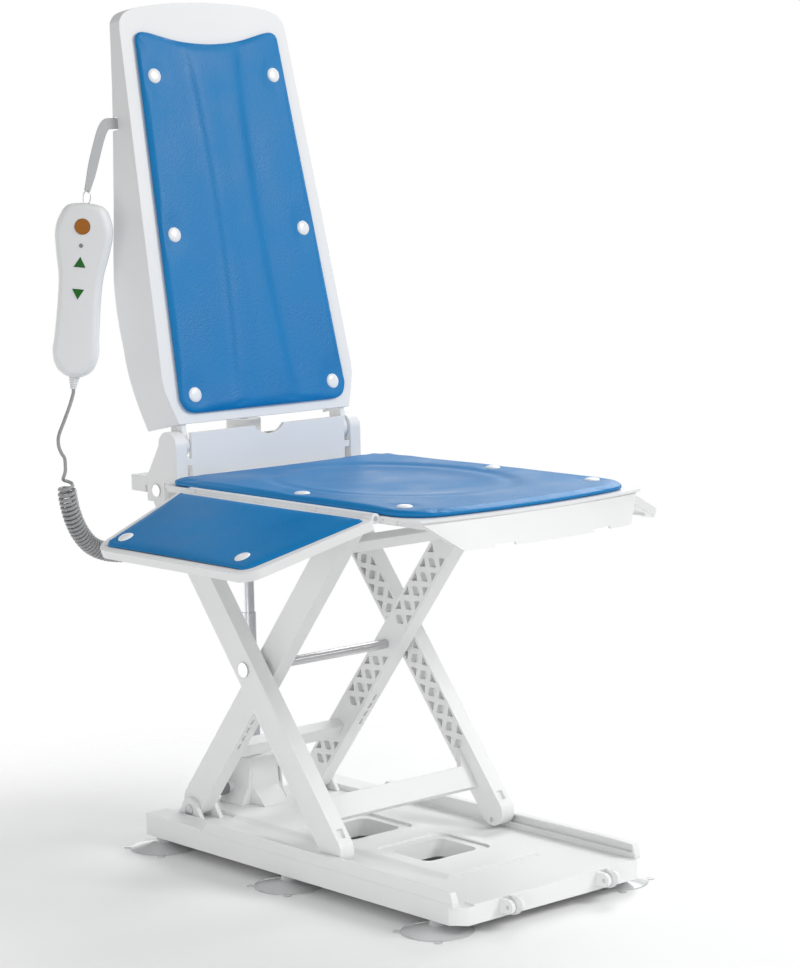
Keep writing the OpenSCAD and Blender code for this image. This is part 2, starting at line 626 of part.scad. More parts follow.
module seat_channels() color("whitesmoke") put() both() difference() {
    box(chan_in, chan_out, chan_front, chan_rear, top_z - shoe_h / 2 - slide_fit - wall, seat_z);
    box(chan_in - 1, chan_web, chan_front - 1, chan_rear - 4, top_z - shoe_h / 2 - slide_fit,
        top_z + shoe_h / 2 + slide_fit);
    box(chan_in - 1, chan_out + 1, chan_front - 1, chan_front + 7, seat_z - 9, seat_z + 1);
}

// Rear of the seat: towers, panel, beam and drive
tower_low = top_z - 14;
inner_cheek_x = outer_leg_x - side_gap - 0.2 - cheek_t;
module tower(s) color("white") put() on_side(s) difference() {
    union() {
        slab(tower_in, tower_out) {
            translate([hinge_y, hinge_z]) circle(tower_r);
            polygon([[hinge_y - tower_r, hinge_z], [hinge_y - tower_r, pad_z], [rear_y + 20, pad_z],
                [rear_y + 16, pad_z + 8], [hinge_y + tower_r, hinge_z]]);
        }
        box(inner_cheek_x, tower_out, hinge_y - tower_r, rear_y + 20, seat_z, seat_z + 6);
        slab(cheek_out, tower_out) polygon([[rear_y - 15, pad_z], [rear_y - 15, tower_low],
            [rear_y + 20, tower_low], [rear_y + 20, pad_z]]);
        slab(inner_cheek_x, inner_cheek_x + cheek_t) polygon([[rear_y - 15, pad_z], [rear_y - 15, tower_low],
            [rear_y + 20, tower_low], [rear_y + 20, pad_z]]);
    }
    xpin(inner_cheek_x - 1, tower_out + 1, rear_y, top_z, pin_d / 2 + seat_fit);
    xpin(tower_in - 1, tower_out - 4, hinge_y, hinge_z, hinge_pin_d / 2 + seat_fit);
}
module tower_right() tower(RIGHT);
module tower_left() tower(LEFT);
module seat_pins() color("lightgray") put() both() {
    xpin(inner_cheek_x, tower_out, rear_y, top_z, pin_d / 2);
    xpin(tower_out, tower_out + 1.6, rear_y, top_z, pin_d / 2 + 2.5);
    xpin(lug_in, tower_out - 4, hinge_y, hinge_z, hinge_pin_d / 2);
}
module lumbar_panel() color("white") put() difference() {
    union() {
        box(-panel_half_w, panel_half_w, panel_y, panel_y + 6, seat_z + 6, hinge_z + 16);
        both() box(panel_half_w - 1, tower_in, panel_y, panel_y + 5, seat_z + 21, seat_z + 29);
        both() box(40, 46, panel_y + 6, beam_y, pad_z + 2, pad_z + 12);
    }
    translate([0, panel_y - 1, hinge_z + 34]) rotate([-90, 0, 0]) cylinder(r = 30, h = 9);
}
module rear_beam() color("whitesmoke") put() difference() {
    union() {
        both() box(72, tower_out, beam_y, beam_rear_y, top_z - 4, seat_z + 5);
        box(-84, 84, beam_y, beam_rear_y, seat_z - 1, seat_z + 19);
        translate([0, column_y, seat_z - 1]) cylinder(r = 27, h = 18);
        both() box(inner_cheek_x, tower_out, rear_y + 20, beam_y + 1, seat_z - 6, seat_z + 5);
        translate([-50, beam_y + 12, seat_z - 11]) cylinder(r = 8, h = 12);
    }
    translate([0, column_y, seat_z - 2]) cylinder(r = 22 + seat_fit, h = 30);
    translate([-50, beam_y + 12, seat_z - 12]) cylinder(r = cord_d / 2 + 0.2, h = 8);
    both() box(78, tower_out - 6, beam_y + 4, beam_rear_y - 4, top_z - 5, seat_z + 1);
}
house_z = seat_z - 3;
house_top = seat_z + 65;
house_bore = 64;
module drive_housing() color("white") put() difference() {
    union() {
        translate([0, column_y, house_z]) cylinder(r = 22, h = house_top - house_z);
        box(0, 25, column_y - 14, column_y + 11, seat_z + 20, seat_z + 46);
    }
    translate([0, column_y, house_z - 1]) cylinder(r = column_d / 2 + 5, h = house_bore + 1);
    translate([0, column_y, house_z]) cylinder(r = tube_d[3] / 2 + seat_fit, h = 100);
}
module drive_motor() color("gray") put() {
    xpin(25, 80, column_y - 1.5, seat_z + 33, 12);
    xpin(80, 86, column_y - 1.5, seat_z + 33, 10);
}

// Flaps, drawn flat from their hinge and then let down by the droop
flap_rim = 9;
flap_floor = 2;
function flap_shape(e) = rounded([[9 + e / 2, 132 - e], [flap_w - e, 122 - e], [flap_w - e, e - 162],
    [9 + e / 2, e * 1.15 - 222]], [3, 24 - e, 28 - e, 3], 8);
module flap_place(s) put() on_side(s) translate([flap_axis_x, 0, rod_z])
    rotate([0, flap_droop, 0]) children();
module flap(s) color("white") flap_place(s) difference() {
    union() {
        translate([0, 0, flap_floor - flap_t + 2]) linear_extrude(flap_t - 2) polygon(flap_shape(0));
        difference() {
            translate([0, 0, flap_floor - flap_t - 1]) linear_extrude(flap_t + 3) polygon(flap_shape(0));
            translate([0, 0, flap_floor - flap_t - 2]) linear_extrude(flap_t + 9)
                polygon(flap_shape(flap_rim));
        }
        for (i = [0:2]) translate([0, ear_y[i + 1] - side_gap, 0]) rotate([90, 0, 0])
            linear_extrude(ear_y[i + 1] - ear_y[i] - ear_l - 2 * side_gap) {
            circle(ear_r);
            translate([0, -4]) square([12, 4 + flap_floor]);
        }
        for (y = [-120, -50, 20, 80]) box(16, flap_w - 6, y - 1.5, y + 1.5, flap_floor - flap_t - 1, 0);
    }
    rotate([90, 0, 0]) cylinder(r = rod_d / 2 + run_fit, h = 700, center = true);
}
module flap_right() flap(RIGHT);
module flap_left() flap(LEFT);
module flap_pad(s) color("royalblue") flap_place(s) translate([0, 0, flap_floor]) {
    linear_extrude(flap_pad_t - 1.2) polygon(flap_shape(flap_rim + 0.5));
    linear_extrude(flap_pad_t) polygon(flap_shape(flap_rim + 2));
}
module flap_pad_right() flap_pad(RIGHT);
module flap_pad_left() flap_pad(LEFT);
module flap_studs(s) color("white") flap_place(s) for (y = [92, -126])
    translate([flap_w - flap_rim - 20, y, flap_floor + flap_pad_t]) stud();
module flap_studs_right() flap_studs(RIGHT);
module flap_studs_left() flap_studs(LEFT);

// Backrest, drawn upright from its hinge: X across, -Y forward, Z up its length
back_low = 24;
back_top = 551;
back_side = smooth([[136, back_low], [150, 66], [161, 110], [167, 172], [163, 238], [154, 304], [146, 379],
    [138, 450], [131, 516], [127, 530], [116, 539], [92, 545], [48, 549.5], [0, back_top]], 3);
function back_outline(low) = let (half = concat([[136, low]], back_side))
    concat(half, [for (i = [len(half) - 2:-1:0]) [-half[i].x, half[i].y]]);
back_depth = 60;
back_flare = 0.012;
// Depth of the side walls down the backrest
back_cut = [[18, 600], [18, 528], [30, 404], [39, 308], [46, 213], [48, 130], [58, 20], [58, -20]];
// Middle of the whole part front to back, from the rollers to the top of the backrest
back_tip = hinge_y + (back_cut[0].x - back_face) * cos(lean)
    + back_top * (1 + back_flare * back_cut[0].x / back_depth) * sin(lean);
shift_y = -(roller_y - roller_r + back_tip) / 2;
module back_place() put() translate([0, hinge_y, hinge_z]) rotate([-lean, 0, 0]) children();
module back_body(low, grow) translate([0, -back_face, 0]) mirror([0, 1, 0]) rotate([90, 0, 0])
    linear_extrude(back_depth, scale = [1.05, 1 + back_flare], slices = 1)
        offset(delta = grow) polygon(back_outline(low));
notch_a = 404;
notch_f = 6;
grip_a = 486;
module backrest_shell() color("white") back_place() difference() {
    union() {
        difference() {
            back_body(back_low, 0);
            translate([0, back_wall, 0]) back_body(-20, -back_wall);
        }
        intersection() {
            back_body(back_low, -1);
            union() {
                for (a = [120, 220, 320, 420]) box(-170, 170, -back_face + 1, 1, a, a + 3);
                for (x = [-60, 57]) box(x, x + 3, -back_face + 1, 1, 80, 530);
                for (i = [-4:4]) box(i * 11 - 2, i * 11 + 2, -back_face + 1, -2, grip_a - 26, grip_a + 26);
            }
        }
    }
    slab(-300, 300) polygon(concat([for (p = back_cut) [p.x - back_face, p.y]], [[200, -20], [200, 600]]));
    box(-200, -100, notch_f, 80, notch_a - 8, notch_a + 8);
}
function crease(a) = 0.25 + 0.1 * pow((a - 275) / 230, 2);
pad_low_a = 35;
function back_pad_w(a) = 133 - (a - pad_low_a) * 21 / 474;
function back_round(x, w, r) = let (d = max(0, abs(x) - (w - r))) r - sqrt(max(0, r * r - d * d));
back_at = function(u, v, e) let (a0 = pad_low_a + 474 * (v + 1) / 2, c = crease(a0), m = abs(u),
    q = sign(u) * (m < 0.3 ? m * c / 0.3 : c + (m - 0.3) * (1 - c) / 0.7), x = q * back_pad_w(a0),
    lo = pad_low_a + back_round(x, 133, 18) + e,
    hi = min(513, 497 + 16 * pow(x / 93, 2)) - back_round(x, 112.5, 8) - e,
    a = lo + (hi - lo) * (v + 1) / 2) [q * (back_pad_w(a) - e), a];
back_raise = 1.6;
back_skin = function(x, a) let (c = crease(a) * back_pad_w(a))
    pad_t - back_raise + back_raise * ramp((c + 9 - abs(x)) / 18);
back_us = [for (u = [-1, -0.95, -0.86, -0.72, -0.57, -0.43, -0.345, -0.255, -0.13]) u];
module backrest_pad() color("steelblue") back_place() translate([0, -back_face, 0]) rotate([90, 0, 0])
    pad_mesh(back_at, back_skin, concat(back_us, [0], [for (i = [8:-1:0]) -back_us[i]]),
        concat([-1, -0.97], [for (i = [1:15]) -1 + i / 8], [0.97, 1]), 2.2, pad_t - 4);
back_studs_at = [[94, 456], [102.3, 257], [110, 58]];
module backrest_studs() color("white") back_place() both() for (p = back_studs_at)
    translate([p.x, -back_face - pad_t + back_raise, p.y]) rotate([90, 0, 0]) stud();
module backrest_lugs() color("whitesmoke") back_place() both() slab(lug_in, lug_out) difference() {
    union() {
        circle(lug_r);
        polygon([[back_wall - back_face, 0], [back_wall - back_face, 76], [2, 76], [lug_r, 0]]);
    }
    circle(hinge_pin_d / 2 + run_fit);
}

// Handset: X across, -Y its face, Z along its length
function hand_half(e) = let (h = hand_len / 2)
    smooth([[0, h - e], [22 - e / 2, h - 4 - e], [hand_head_r - 3 - e, h - 20 - e], [hand_head_r - e, h - 38],
        [hand_head_r - 3 - e, h - 62], [27 - e, h - 90], [26 - e, 20 - h * 0.35],
        [hand_tail_r - 1 - e, 50 - h], [hand_tail_r - e, 28 - h], [hand_tail_r - 6 - e, 10 - h + e],
        [10 - e / 2, 1 - h + e], [0, e - h]], 3);
function hand_outline(e) = let (p = hand_half(e)) concat(p, [for (i = [len(p) - 2:-1:1]) [-p[i].x, p[i].y]]);
module hand_place() put() translate(hand_c) rotate([0, 0, hand_turn]) rotate([0, hand_tilt, 0]) children();
module hand_layer(y0, y1, e) translate([0, y1, 0]) rotate([90, 0, 0]) linear_extrude(y1 - y0)
    polygon(hand_outline(e));
hand_face = -hand_t / 2;
stop_z = 78;
led_z = 55;
up_z = 33;
down_z = -2;
key_sink = 5;
key_rise = 0.8;
key_pocket = key_sink + key_travel + 0.8;
boot_l = 15;
module key_shape(z, k, e) let (r = key_r + e * 2)
    translate([0, z]) polygon([[0, k * r], [-r * 0.87, -k * r / 2], [r * 0.87, -k * r / 2]]);
module key_body(y0, y1) translate([0, y1, 0]) rotate([90, 0, 0]) linear_extrude(y1 - y0) children();
module handset_case() color("white") hand_place() {
    difference() {
        union() {
            hand_layer(-hand_t / 2 + 6, hand_t / 2 - 6, 0);
            hand_layer(-hand_t / 2 + 2.5, hand_t / 2 - 2.5, 2.5);
            hand_layer(-hand_t / 2, hand_t / 2, 7);
        }
        key_body(hand_face - 1, hand_face + key_pocket) translate([0, stop_z]) circle(stop_r + run_fit);
        key_body(hand_face - 1, hand_face + key_pocket) key_shape(up_z, 1, slide_fit);
        key_body(hand_face - 1, hand_face + key_pocket) key_shape(down_z, -1, slide_fit);
    }
    key_body(hand_face - 0.5, hand_face + 0.5) translate([0, led_z]) circle(2.6);
    translate([0, 0, -hand_len / 2 - boot_l]) rotate_extrude() polygon(concat([[0, 0]],
        [for (i = [0:4]) let (q = boot_l / 5, r = 3.4 + i * 0.6) each [[r, i * q], [r + 1, i * q + 0.6],
            [r + 1, i * q + 2], [r + 0.3, i * q + 2.6]]], [[6, boot_l + 2], [0, boot_l + 2]]));
}
module handset_battery() color("gainsboro") hand_place()
    translate([0, hand_t / 2, -30]) rotate([-90, 0, 0]) linear_extrude(2) round_rect(34, 84, 8);
module stop_button() color("darkorange") hand_place()
    key_body(hand_face - key_rise, hand_face + key_sink) translate([0, stop_z]) circle(stop_r);
module up_button() color("green") hand_place()
    key_body(hand_face - key_rise, hand_face + key_sink) key_shape(up_z, 1, 0);
module down_button() color("green") hand_place()
    key_body(hand_face - key_rise, hand_face + key_sink) key_shape(down_z, -1, 0);
// Strap from the notch in the backrest to the top of the handset
strap_w = 14;
strap_t = 1.6;
// A point on the middle line of the handset
function hand_pt(z) = hand_c
    + z * [sin(hand_tilt) * cos(hand_turn), sin(hand_tilt) * sin(hand_turn), cos(hand_tilt)];
hang = 2;
strap_path = [[-138, 306.9, 905], [-148, 306.9, 905], [-157, 306.4, 904], [-167, 303, 894], [-181, 297, 868],
    [-195, 289, 842], hand_pt(hand_len / 2 + 9), hand_pt(hand_len / 2 + hang)];
module handset_strap() color("silver") put() sweep(smooth(strap_path, 3),
    [[-strap_w / 2, -strap_t / 2], [strap_w / 2, -strap_t / 2], [strap_w / 2, strap_t / 2],
        [-strap_w / 2, strap_t / 2]], [0, cos(lean), -sin(lean)]);

// Cord: a plain lead from the handset, then curls to a socket under the beam
boot_end = -hand_len / 2 - boot_l;
lead_path = [hand_pt(boot_end), hand_pt(boot_end - cord_d * 1.5), [-236, 292, 564], [-246, 290, 547],
    [-256, 288, 530], [-258, 286, 518], [-255, 285, 509], [-251, 285, 503], [-250, 285, 497]];
coil_path = [[-250, 285, 496.4], [-249, 286, 476], [-245, 289, 452], [-235, 295, 427], [-220, 303, 407],
    [-197, 310, 391], [-170, 314, 383], [-141, 315, 381], [-114, 313, 384], [-90, 307, 393], [-71, 297, 410],
    [-59, 285, 429], [-51, 276, 444], [-50, 274, 454], [-50, 274, 463]];
coil_ref = [0, 1, 0];
module cord_lead() color("silver") put() sweep(smooth(lead_path, 3), ngon(cord_d / 2, 8), coil_ref);
// Even steps along the coil's middle line
coil_fine = smooth(coil_path, 12);
function run(p, i = 1, s = 0, out = [0]) = i >= len(p) ? out :
    let (d = s + norm(p[i] - p[i - 1])) run(p, i + 1, d, concat(out, [d]));
coil_run = run(coil_fine);
coil_len = coil_run[len(coil_run) - 1];
function along(s) = let (passed = [for (k = [0:len(coil_run) - 1]) coil_run[k] <= s ? k : 0],
    i = min(len(coil_fine) - 2, max(passed)), t = (s - coil_run[i]) / (coil_run[i + 1] - coil_run[i]))
    coil_fine[i] + t * (coil_fine[i + 1] - coil_fine[i]);
coil_a = cord_d * 1.5;
coil_b = coil_len - 26;
steps = curls * 8;
function curl(k) = let (s = coil_a + (coil_b - coil_a) * k / steps, c = along(s),
    t = unit(along(s + 2) - along(s - 2)), x = unit(cross(coil_ref, t)), y = cross(t, x),
    r = curl_r * ramp(min(k, steps - k) / 7))
    c + r * (cos(k * 45) * x + sin(k * 45) * y);
curl_path = concat([coil_path[0], along(cord_d)], [for (k = [1:steps - 1]) curl(k)],
    [along(coil_len - 14), along(coil_len - 7), along(coil_len)]);
// Least gap of the cord to its own next curls
curl_gap = min([for (i = [2:len(curl_path) - 14], j = [5:11])
    norm(curl_path[i] - curl_path[i + j])]) - cord_d;
function sum(v, i = 0, s = 0) = i >= len(v) ? s : sum(v, i + 1, s + v[i]);
echo(least_curl_gap = curl_gap, curls = curls,
    coil_cord_length = sum([for (i = [1:len(curl_path) - 1]) norm(curl_path[i] - curl_path[i - 1])]),
    lead_length = let (p = smooth(lead_path, 3)) sum([for (i = [1:len(p) - 1]) norm(p[i] - p[i - 1])]));
// Frames that stay square to the path without twisting
function carry(p, i, n, out) = i >= len(p) ? out :
    let (t = tangent(p, i), m = unit(n - (n * t) * t)) carry(p, i + 1, m, concat(out, [m]));
module twist_free(path, sec) {
    m = len(sec);
    n = len(path);
    up = carry(path, 0, [1, 0, 0], []);
    polyhedron(convexity = 10, points = [for (i = [0:n - 1]) let (s = cross(up[i], tangent(path, i)))
        for (q = sec) path[i] + q.x * s + q.y * up[i]],
        faces = concat(quads(n, m), [[for (k = [0:m - 1]) k], [for (k = [m - 1:-1:0]) (n - 1) * m + k]]));
}
module cord_coil() color("silver") put() twist_free(curl_path, ngon(cord_d / 2, 6));

base_tray();
rail_right();
rail_left();
pivot_bracket_right();
pivot_bracket_left();
base_pins();
cup_front_right();
cup_front_left();
cup_mid_right();
cup_mid_left();
cup_rear_right();
cup_rear_left();
column_foot();
column_tube_base();
roller_right();
roller_left();
foot_latch();
inner_leg_right();
inner_leg_left();
inner_crossbar_low();
inner_crossbar_top();
scissor_axle();
outer_leg_right();
outer_leg_left();
outer_crossbar();
lower_shoes();
upper_shoes();
column_tube_low();
column_tube_mid();
seat_shell();
seat_pad();
seat_studs();
seat_channels();
tower_right();
tower_left();
lumbar_panel();
rear_beam();
drive_housing();
drive_motor();
column_tube_top();
seat_pins();
flap_rods();
flap_right();
flap_left();
flap_pad_right();
flap_pad_left();
flap_studs_right();
flap_studs_left();
backrest_shell();
backrest_pad();
backrest_studs();
backrest_lugs();
handset_strap();
handset_case();
handset_battery();
stop_button();
up_button();
down_button();
cord_lead();
cord_coil();
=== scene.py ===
# %% [markdown]
# A bath lift in the studio. The imported model is the skeleton of this scene: its
# bodies and joints are final, and every piece made below but the cord rides on one of them.

# %% Load the frame
import bpy, bmesh, json, math
import numpy as np
from mathutils import Matrix, Vector

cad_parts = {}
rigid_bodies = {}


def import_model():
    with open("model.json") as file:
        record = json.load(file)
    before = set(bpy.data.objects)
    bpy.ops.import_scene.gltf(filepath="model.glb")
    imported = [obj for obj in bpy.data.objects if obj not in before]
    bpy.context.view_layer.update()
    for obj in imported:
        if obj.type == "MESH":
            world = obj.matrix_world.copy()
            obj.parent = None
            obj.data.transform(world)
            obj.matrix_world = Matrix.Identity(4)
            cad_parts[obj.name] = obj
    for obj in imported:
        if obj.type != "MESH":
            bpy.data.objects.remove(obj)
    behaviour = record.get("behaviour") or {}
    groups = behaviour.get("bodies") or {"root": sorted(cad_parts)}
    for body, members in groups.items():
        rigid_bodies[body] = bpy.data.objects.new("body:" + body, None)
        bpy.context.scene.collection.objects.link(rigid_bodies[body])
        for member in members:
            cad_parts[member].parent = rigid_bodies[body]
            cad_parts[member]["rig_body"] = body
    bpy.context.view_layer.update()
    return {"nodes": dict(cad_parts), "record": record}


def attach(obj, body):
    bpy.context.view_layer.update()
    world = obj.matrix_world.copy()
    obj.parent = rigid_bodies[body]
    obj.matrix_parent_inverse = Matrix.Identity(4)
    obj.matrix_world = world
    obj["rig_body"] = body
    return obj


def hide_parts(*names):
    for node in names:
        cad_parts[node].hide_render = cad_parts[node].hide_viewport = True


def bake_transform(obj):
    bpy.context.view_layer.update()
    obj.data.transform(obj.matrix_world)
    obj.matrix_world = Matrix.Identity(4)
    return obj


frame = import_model()
NODES = frame["nodes"]
scene = bpy.context.scene

# %% [markdown]
# The part was drawn in millimetres, and its source slides everything a little
# along Y so that the middle of its footprint is the origin. Two small helpers
# take a drawing point to the scene: one for any point, and one for points given
# on the leaning backrest, as across, up along the lean, and out of the face.
# A third puts a new object in the scene.

# %% Drawing units
SHIFT_Y = -5.028          # how far the source slides the drawing, in mm
HINGE_Y, HINGE_Z = 214.0, 512.0
LEAN = math.radians(12.3)


def mm(x, y, z):
    return Vector((x, y + SHIFT_Y, z)) / 1000


def on_back(x, up, out):
    """A point on the backrest: out is how far behind (-) or ahead (+) of the hinge."""
    return mm(x, HINGE_Y + up * math.sin(LEAN) - out * math.cos(LEAN),
              HINGE_Z + up * math.cos(LEAN) + out * math.sin(LEAN))


def linked(name, data):
    """A new object of the data, in the scene."""
    made = bpy.data.objects.new(name, data)
    scene.collection.objects.link(made)
    return made


# %% [markdown]
# The camera was fitted to the photograph from points whose places are known on
# the drawing, such as the corners of the base and the hinges. A camera looks along
# its own minus Z axis, so its matrix is built from three directions: right, up and
# back. A small roll is part of the fit.

# %% Camera
CAMERA_AT = mm(-2147.53, -2493.69, 905.45)
TURN, DIP, ROLL = (math.radians(a) for a in (-41.28, 7.56, -1.17))
FOCAL_PX, FRAME_PX, SENSOR = 2761.86, 968, 24    # focal length and frame height in pixels
back = Vector((math.sin(TURN) * math.cos(DIP), -math.cos(TURN) * math.cos(DIP), math.sin(DIP)))
right = Vector((math.cos(TURN), math.sin(TURN), 0))
up = right.cross(-back)
rolled_right = right * math.cos(ROLL) + up * math.sin(ROLL)
rolled_up = up * math.cos(ROLL) - right * math.sin(ROLL)

camera_data = bpy.data.cameras.new("photo_camera")
camera_data.sensor_fit = "VERTICAL"
camera_data.sensor_height = SENSOR
camera_data.lens = SENSOR * FOCAL_PX / FRAME_PX
camera_data.clip_end = 50
camera = linked("photo_camera", camera_data)
turned = Matrix((rolled_right, rolled_up, back)).transposed().to_4x4()
camera.matrix_world = Matrix.Translation(CAMERA_AT) @ turned
scene.camera = camera
print("camera: lens", round(camera_data.lens, 2), "mm")

# %% [markdown]
# Most pieces below are lofted: rows of points, one closed loop after another, are
# joined by quads. The helper makes one closed mesh from such rows, and takes care
# that its faces point outwards. A tube is the same thing with round rows, carried
# along a path without twisting.


# %% Mesh helpers
def shade(mesh, sharp=None):
    """Smooth shading, with the edges over an angle in degrees left sharp."""
    mesh.polygons.foreach_set("use_smooth", [True] * len(mesh.polygons))
    if sharp is not None:
        mesh.set_sharp_from_angle(angle=math.radians(sharp))


def evaluated(piece):
    """A new mesh of the piece as its modifiers leave it."""
    return bpy.data.meshes.new_from_object(piece.evaluated_get(bpy.context.evaluated_depsgraph_get()))


def baked(piece):
    """The piece with its modifiers applied, as a plain mesh."""
    mesh = evaluated(piece)
    piece.modifiers.clear()
    piece.data = mesh
    return mesh


def new_piece(name, vertices, faces, smooth=True):
    mesh = bpy.data.meshes.new(name)
    mesh.from_pydata([tuple(v) for v in vertices], [], faces)
    cleaner = bmesh.new()
    cleaner.from_mesh(mesh)
    bmesh.ops.remove_doubles(cleaner, verts=cleaner.verts, dist=1e-6)
    bmesh.ops.recalc_face_normals(cleaner, faces=cleaner.faces)
    cleaner.to_mesh(mesh)
    cleaner.free()
    if smooth:
        shade(mesh)
    piece = linked(name, mesh)
    return piece


# %% Loft helpers
def loft_faces(rows, count, closed=False):
    """Quads between rows of count points each, with a face over each open end."""
    faces = []
    for i in range(rows if closed else rows - 1):
        a, b = i * count, ((i + 1) % rows) * count
        faces += [(a + k, a + (k + 1) % count, b + (k + 1) % count, b + k) for k in range(count)]
    if not closed:
        faces += [tuple(range(count))[::-1], tuple((rows - 1) * count + k for k in range(count))]
    return faces


def heading(path, i):
    """The direction of a path at one of its points."""
    return (path[min(i + 1, len(path) - 1)] - path[max(i - 1, 0)]).normalized()


def tube_rows(path, section, first_side):
    """Rows of a section, as across and out pairs, carried along a path without twist."""
    rows, side = [], Vector(first_side)
    for i, point in enumerate(path):
        along = heading(path, i)
        side = (side - along * side.dot(along)).normalized()
        out = along.cross(side)
        rows += [point + side * a + out * b for a, b in section]
    return rows


def ring(radius, count):
    steps = [2 * math.pi * k / count for k in range(count)]
    return [(radius * math.cos(t), radius * math.sin(t)) for t in steps]


def smooth_path(points, steps):
    """A smooth line through points, with so many steps a span."""
    def pick(i):
        return points[max(0, min(len(points) - 1, i))]
    line = []
    for i in range(len(points) - 1):
        a, b, c, d = pick(i - 1), pick(i), pick(i + 1), pick(i + 2)
        for k in range(steps):
            t = k / steps
            line.append(0.5 * (2 * b + (c - a) * t + (2 * a - 5 * b + 4 * c - d) * t * t
                               + (3 * b - a - 3 * c + d) * t ** 3))
    return line + [points[-1]]


def ease(t):
    t = max(0.0, min(1.0, t))
    return t * t * (3 - 2 * t)


# %% [markdown]
# The handset's cord comes first, because it is the piece with the strictest facts:
# 4.4 mm thick, a plain lead out of the handset's boot, then 48 curls that hang in a
# bow behind the seat flap and end in a socket under the rear beam. The curls wind
# round nearly the same middle line as in the source. The handset hangs on the
# backrest and the socket is on the seat, but the cord is one fixed mesh that rides
# on neither, so it keeps its shape when the backrest folds.

# %% Route of the cord
CORD_D, CURL_R, CURLS = 4.4, 10.0, 48
STRAIGHT = CORD_D * 1.5                          # plain run ahead of a bend
HAND_AT = Vector((-219, 285, 705))
HAND_TURN, HAND_TILT = math.radians(-45), math.radians(6)
HAND_AXIS = Vector((math.sin(HAND_TILT) * math.cos(HAND_TURN),
                    math.sin(HAND_TILT) * math.sin(HAND_TURN), math.cos(HAND_TILT)))
HAND_LEN, BOOT_L = 212.0, 15.0


def hand_line(z):
    return HAND_AT + HAND_AXIS * z


boot_end = -HAND_LEN / 2 - BOOT_L
lead_points = [hand_line(boot_end), hand_line(boot_end - STRAIGHT)] + [Vector(p) for p in (
    (-236, 292, 564), (-246, 290, 547), (-256, 288, 530), (-258, 286, 518),
    (-255, 285, 509), (-251, 285, 503), (-250, 285, 497))]
bow_points = [Vector(p) for p in (
    (-250, 285, 497), (-249, 286, 476), (-245, 289, 452), (-235, 294, 426), (-219, 301, 403),
    (-197, 309, 385), (-170, 314, 374), (-141, 315, 370), (-114, 313, 374), (-90, 307, 386),
    (-71, 297, 408), (-59, 285, 429), (-51, 276, 444), (-50, 274, 454), (-50, 274, 463))]

bow = np.array([list(p) for p in smooth_path(bow_points, 12)])
bow_run = np.concatenate([[0], np.cumsum(np.linalg.norm(np.diff(bow, axis=0), axis=1))])


def on_bow(run):
    return Vector([float(np.interp(run, bow_run, bow[:, axis])) for axis in range(3)])


# %% Curls of the cord
STEPS, SIDES = 18, 10                            # points for each turn, and round the cord
GROW = 32.0                                      # run over which the curls reach their size
PLAIN = 20.0                                     # run without curls, into the socket
curl_start, curl_end = STRAIGHT, bow_run[-1] - PLAIN
runs = np.linspace(curl_start, curl_end, CURLS * STEPS)
grown_in = np.clip(np.minimum(runs - curl_start, curl_end - runs) / GROW, 0, 1)
angles = np.cumsum(grown_in ** 2)
angles *= 2 * math.pi * CURLS / angles[-1]
curled = []
for run, share, angle in list(zip(runs.tolist(), grown_in.tolist(), angles.tolist()))[1:-1]:
    ahead = (on_bow(run + 2) - on_bow(run - 2)).normalized()
    side = Vector((0, 1, 0)).cross(ahead).normalized()
    across = math.cos(angle) * side + math.sin(angle) * ahead.cross(side)
    curled.append(on_bow(run) + CURL_R * ease(share) * across)
plain_end = [on_bow(bow_run[-1] - s) for s in (14, 7, 0)]
cord_path = [mm(*p) for p in smooth_path(lead_points, 6)[:-1] + [bow_points[0], on_bow(CORD_D)]
             + curled + plain_end]

curly_cord = new_piece("curly_cord", tube_rows(cord_path, ring(CORD_D / 2000, SIDES), (1, 0, 0)),
                       loft_faces(len(cord_path), SIDES))
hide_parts("cord_lead", "cord_coil")
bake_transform(curly_cord)

# %% [markdown]
# The floor, the world, the finishes and the repeats are all node trees. Three helpers
# keep them short: one adds a node and sets its sockets, one links nodes by the names
# of their sockets, and one does arithmetic.


# %% Node helpers
def add(tree, kind, **values):
    """A new node; values go to its sockets by name, with _ for a space."""
    made = tree.nodes.new(kind)
    for label, value in values.items():
        made.inputs[label.replace("_", " ")].default_value = value
    return made


def wire(tree, *rows):
    """Links, each given as a node, its output, the next node and its input."""
    for source, output, target, entry in rows:
        tree.links.new(source.outputs[output], target.inputs[entry])


def number(tree, operation, *values):
    """The result of a maths node; values are numbers or outputs of other nodes."""
    made = add(tree, "ShaderNodeMath")
    made.operation = operation
    for socket, value in zip(made.inputs, values):
        if isinstance(value, (int, float)):
            socket.default_value = value
        else:
            tree.links.new(value, socket)
    return made.outputs["Value"]


def colour_mix(tree, dark, light):
    mix = add(tree, "ShaderNodeMix")
    mix.data_type = "RGBA"
    mix.inputs["A"].default_value, mix.inputs["B"].default_value = (*dark, 1), (*light, 1)
    return mix


def fresh_material(name):
    """A node material with only its output left, and its tree."""
    material = bpy.data.materials.new(name)
    material.use_nodes = True
    tree = material.node_tree
    tree.nodes.clear()
    return material, tree, add(tree, "ShaderNodeOutputMaterial")


# %% [markdown]
# The studio: a white floor under a white world, a large soft key lamp ahead of the
# seat on the sitter's left, a weak fill from above and a low one for the legs. The near
# side of the lift is then in gentle shade, as in the photograph. The floor fades out to
# the white world far from the object, so no horizon shows, and it keeps the soft
# shadows. What shiny faces mirror is bright only low down behind the lift, because a
# real studio is dark overhead and in front; it keeps the blue of the pads deep.

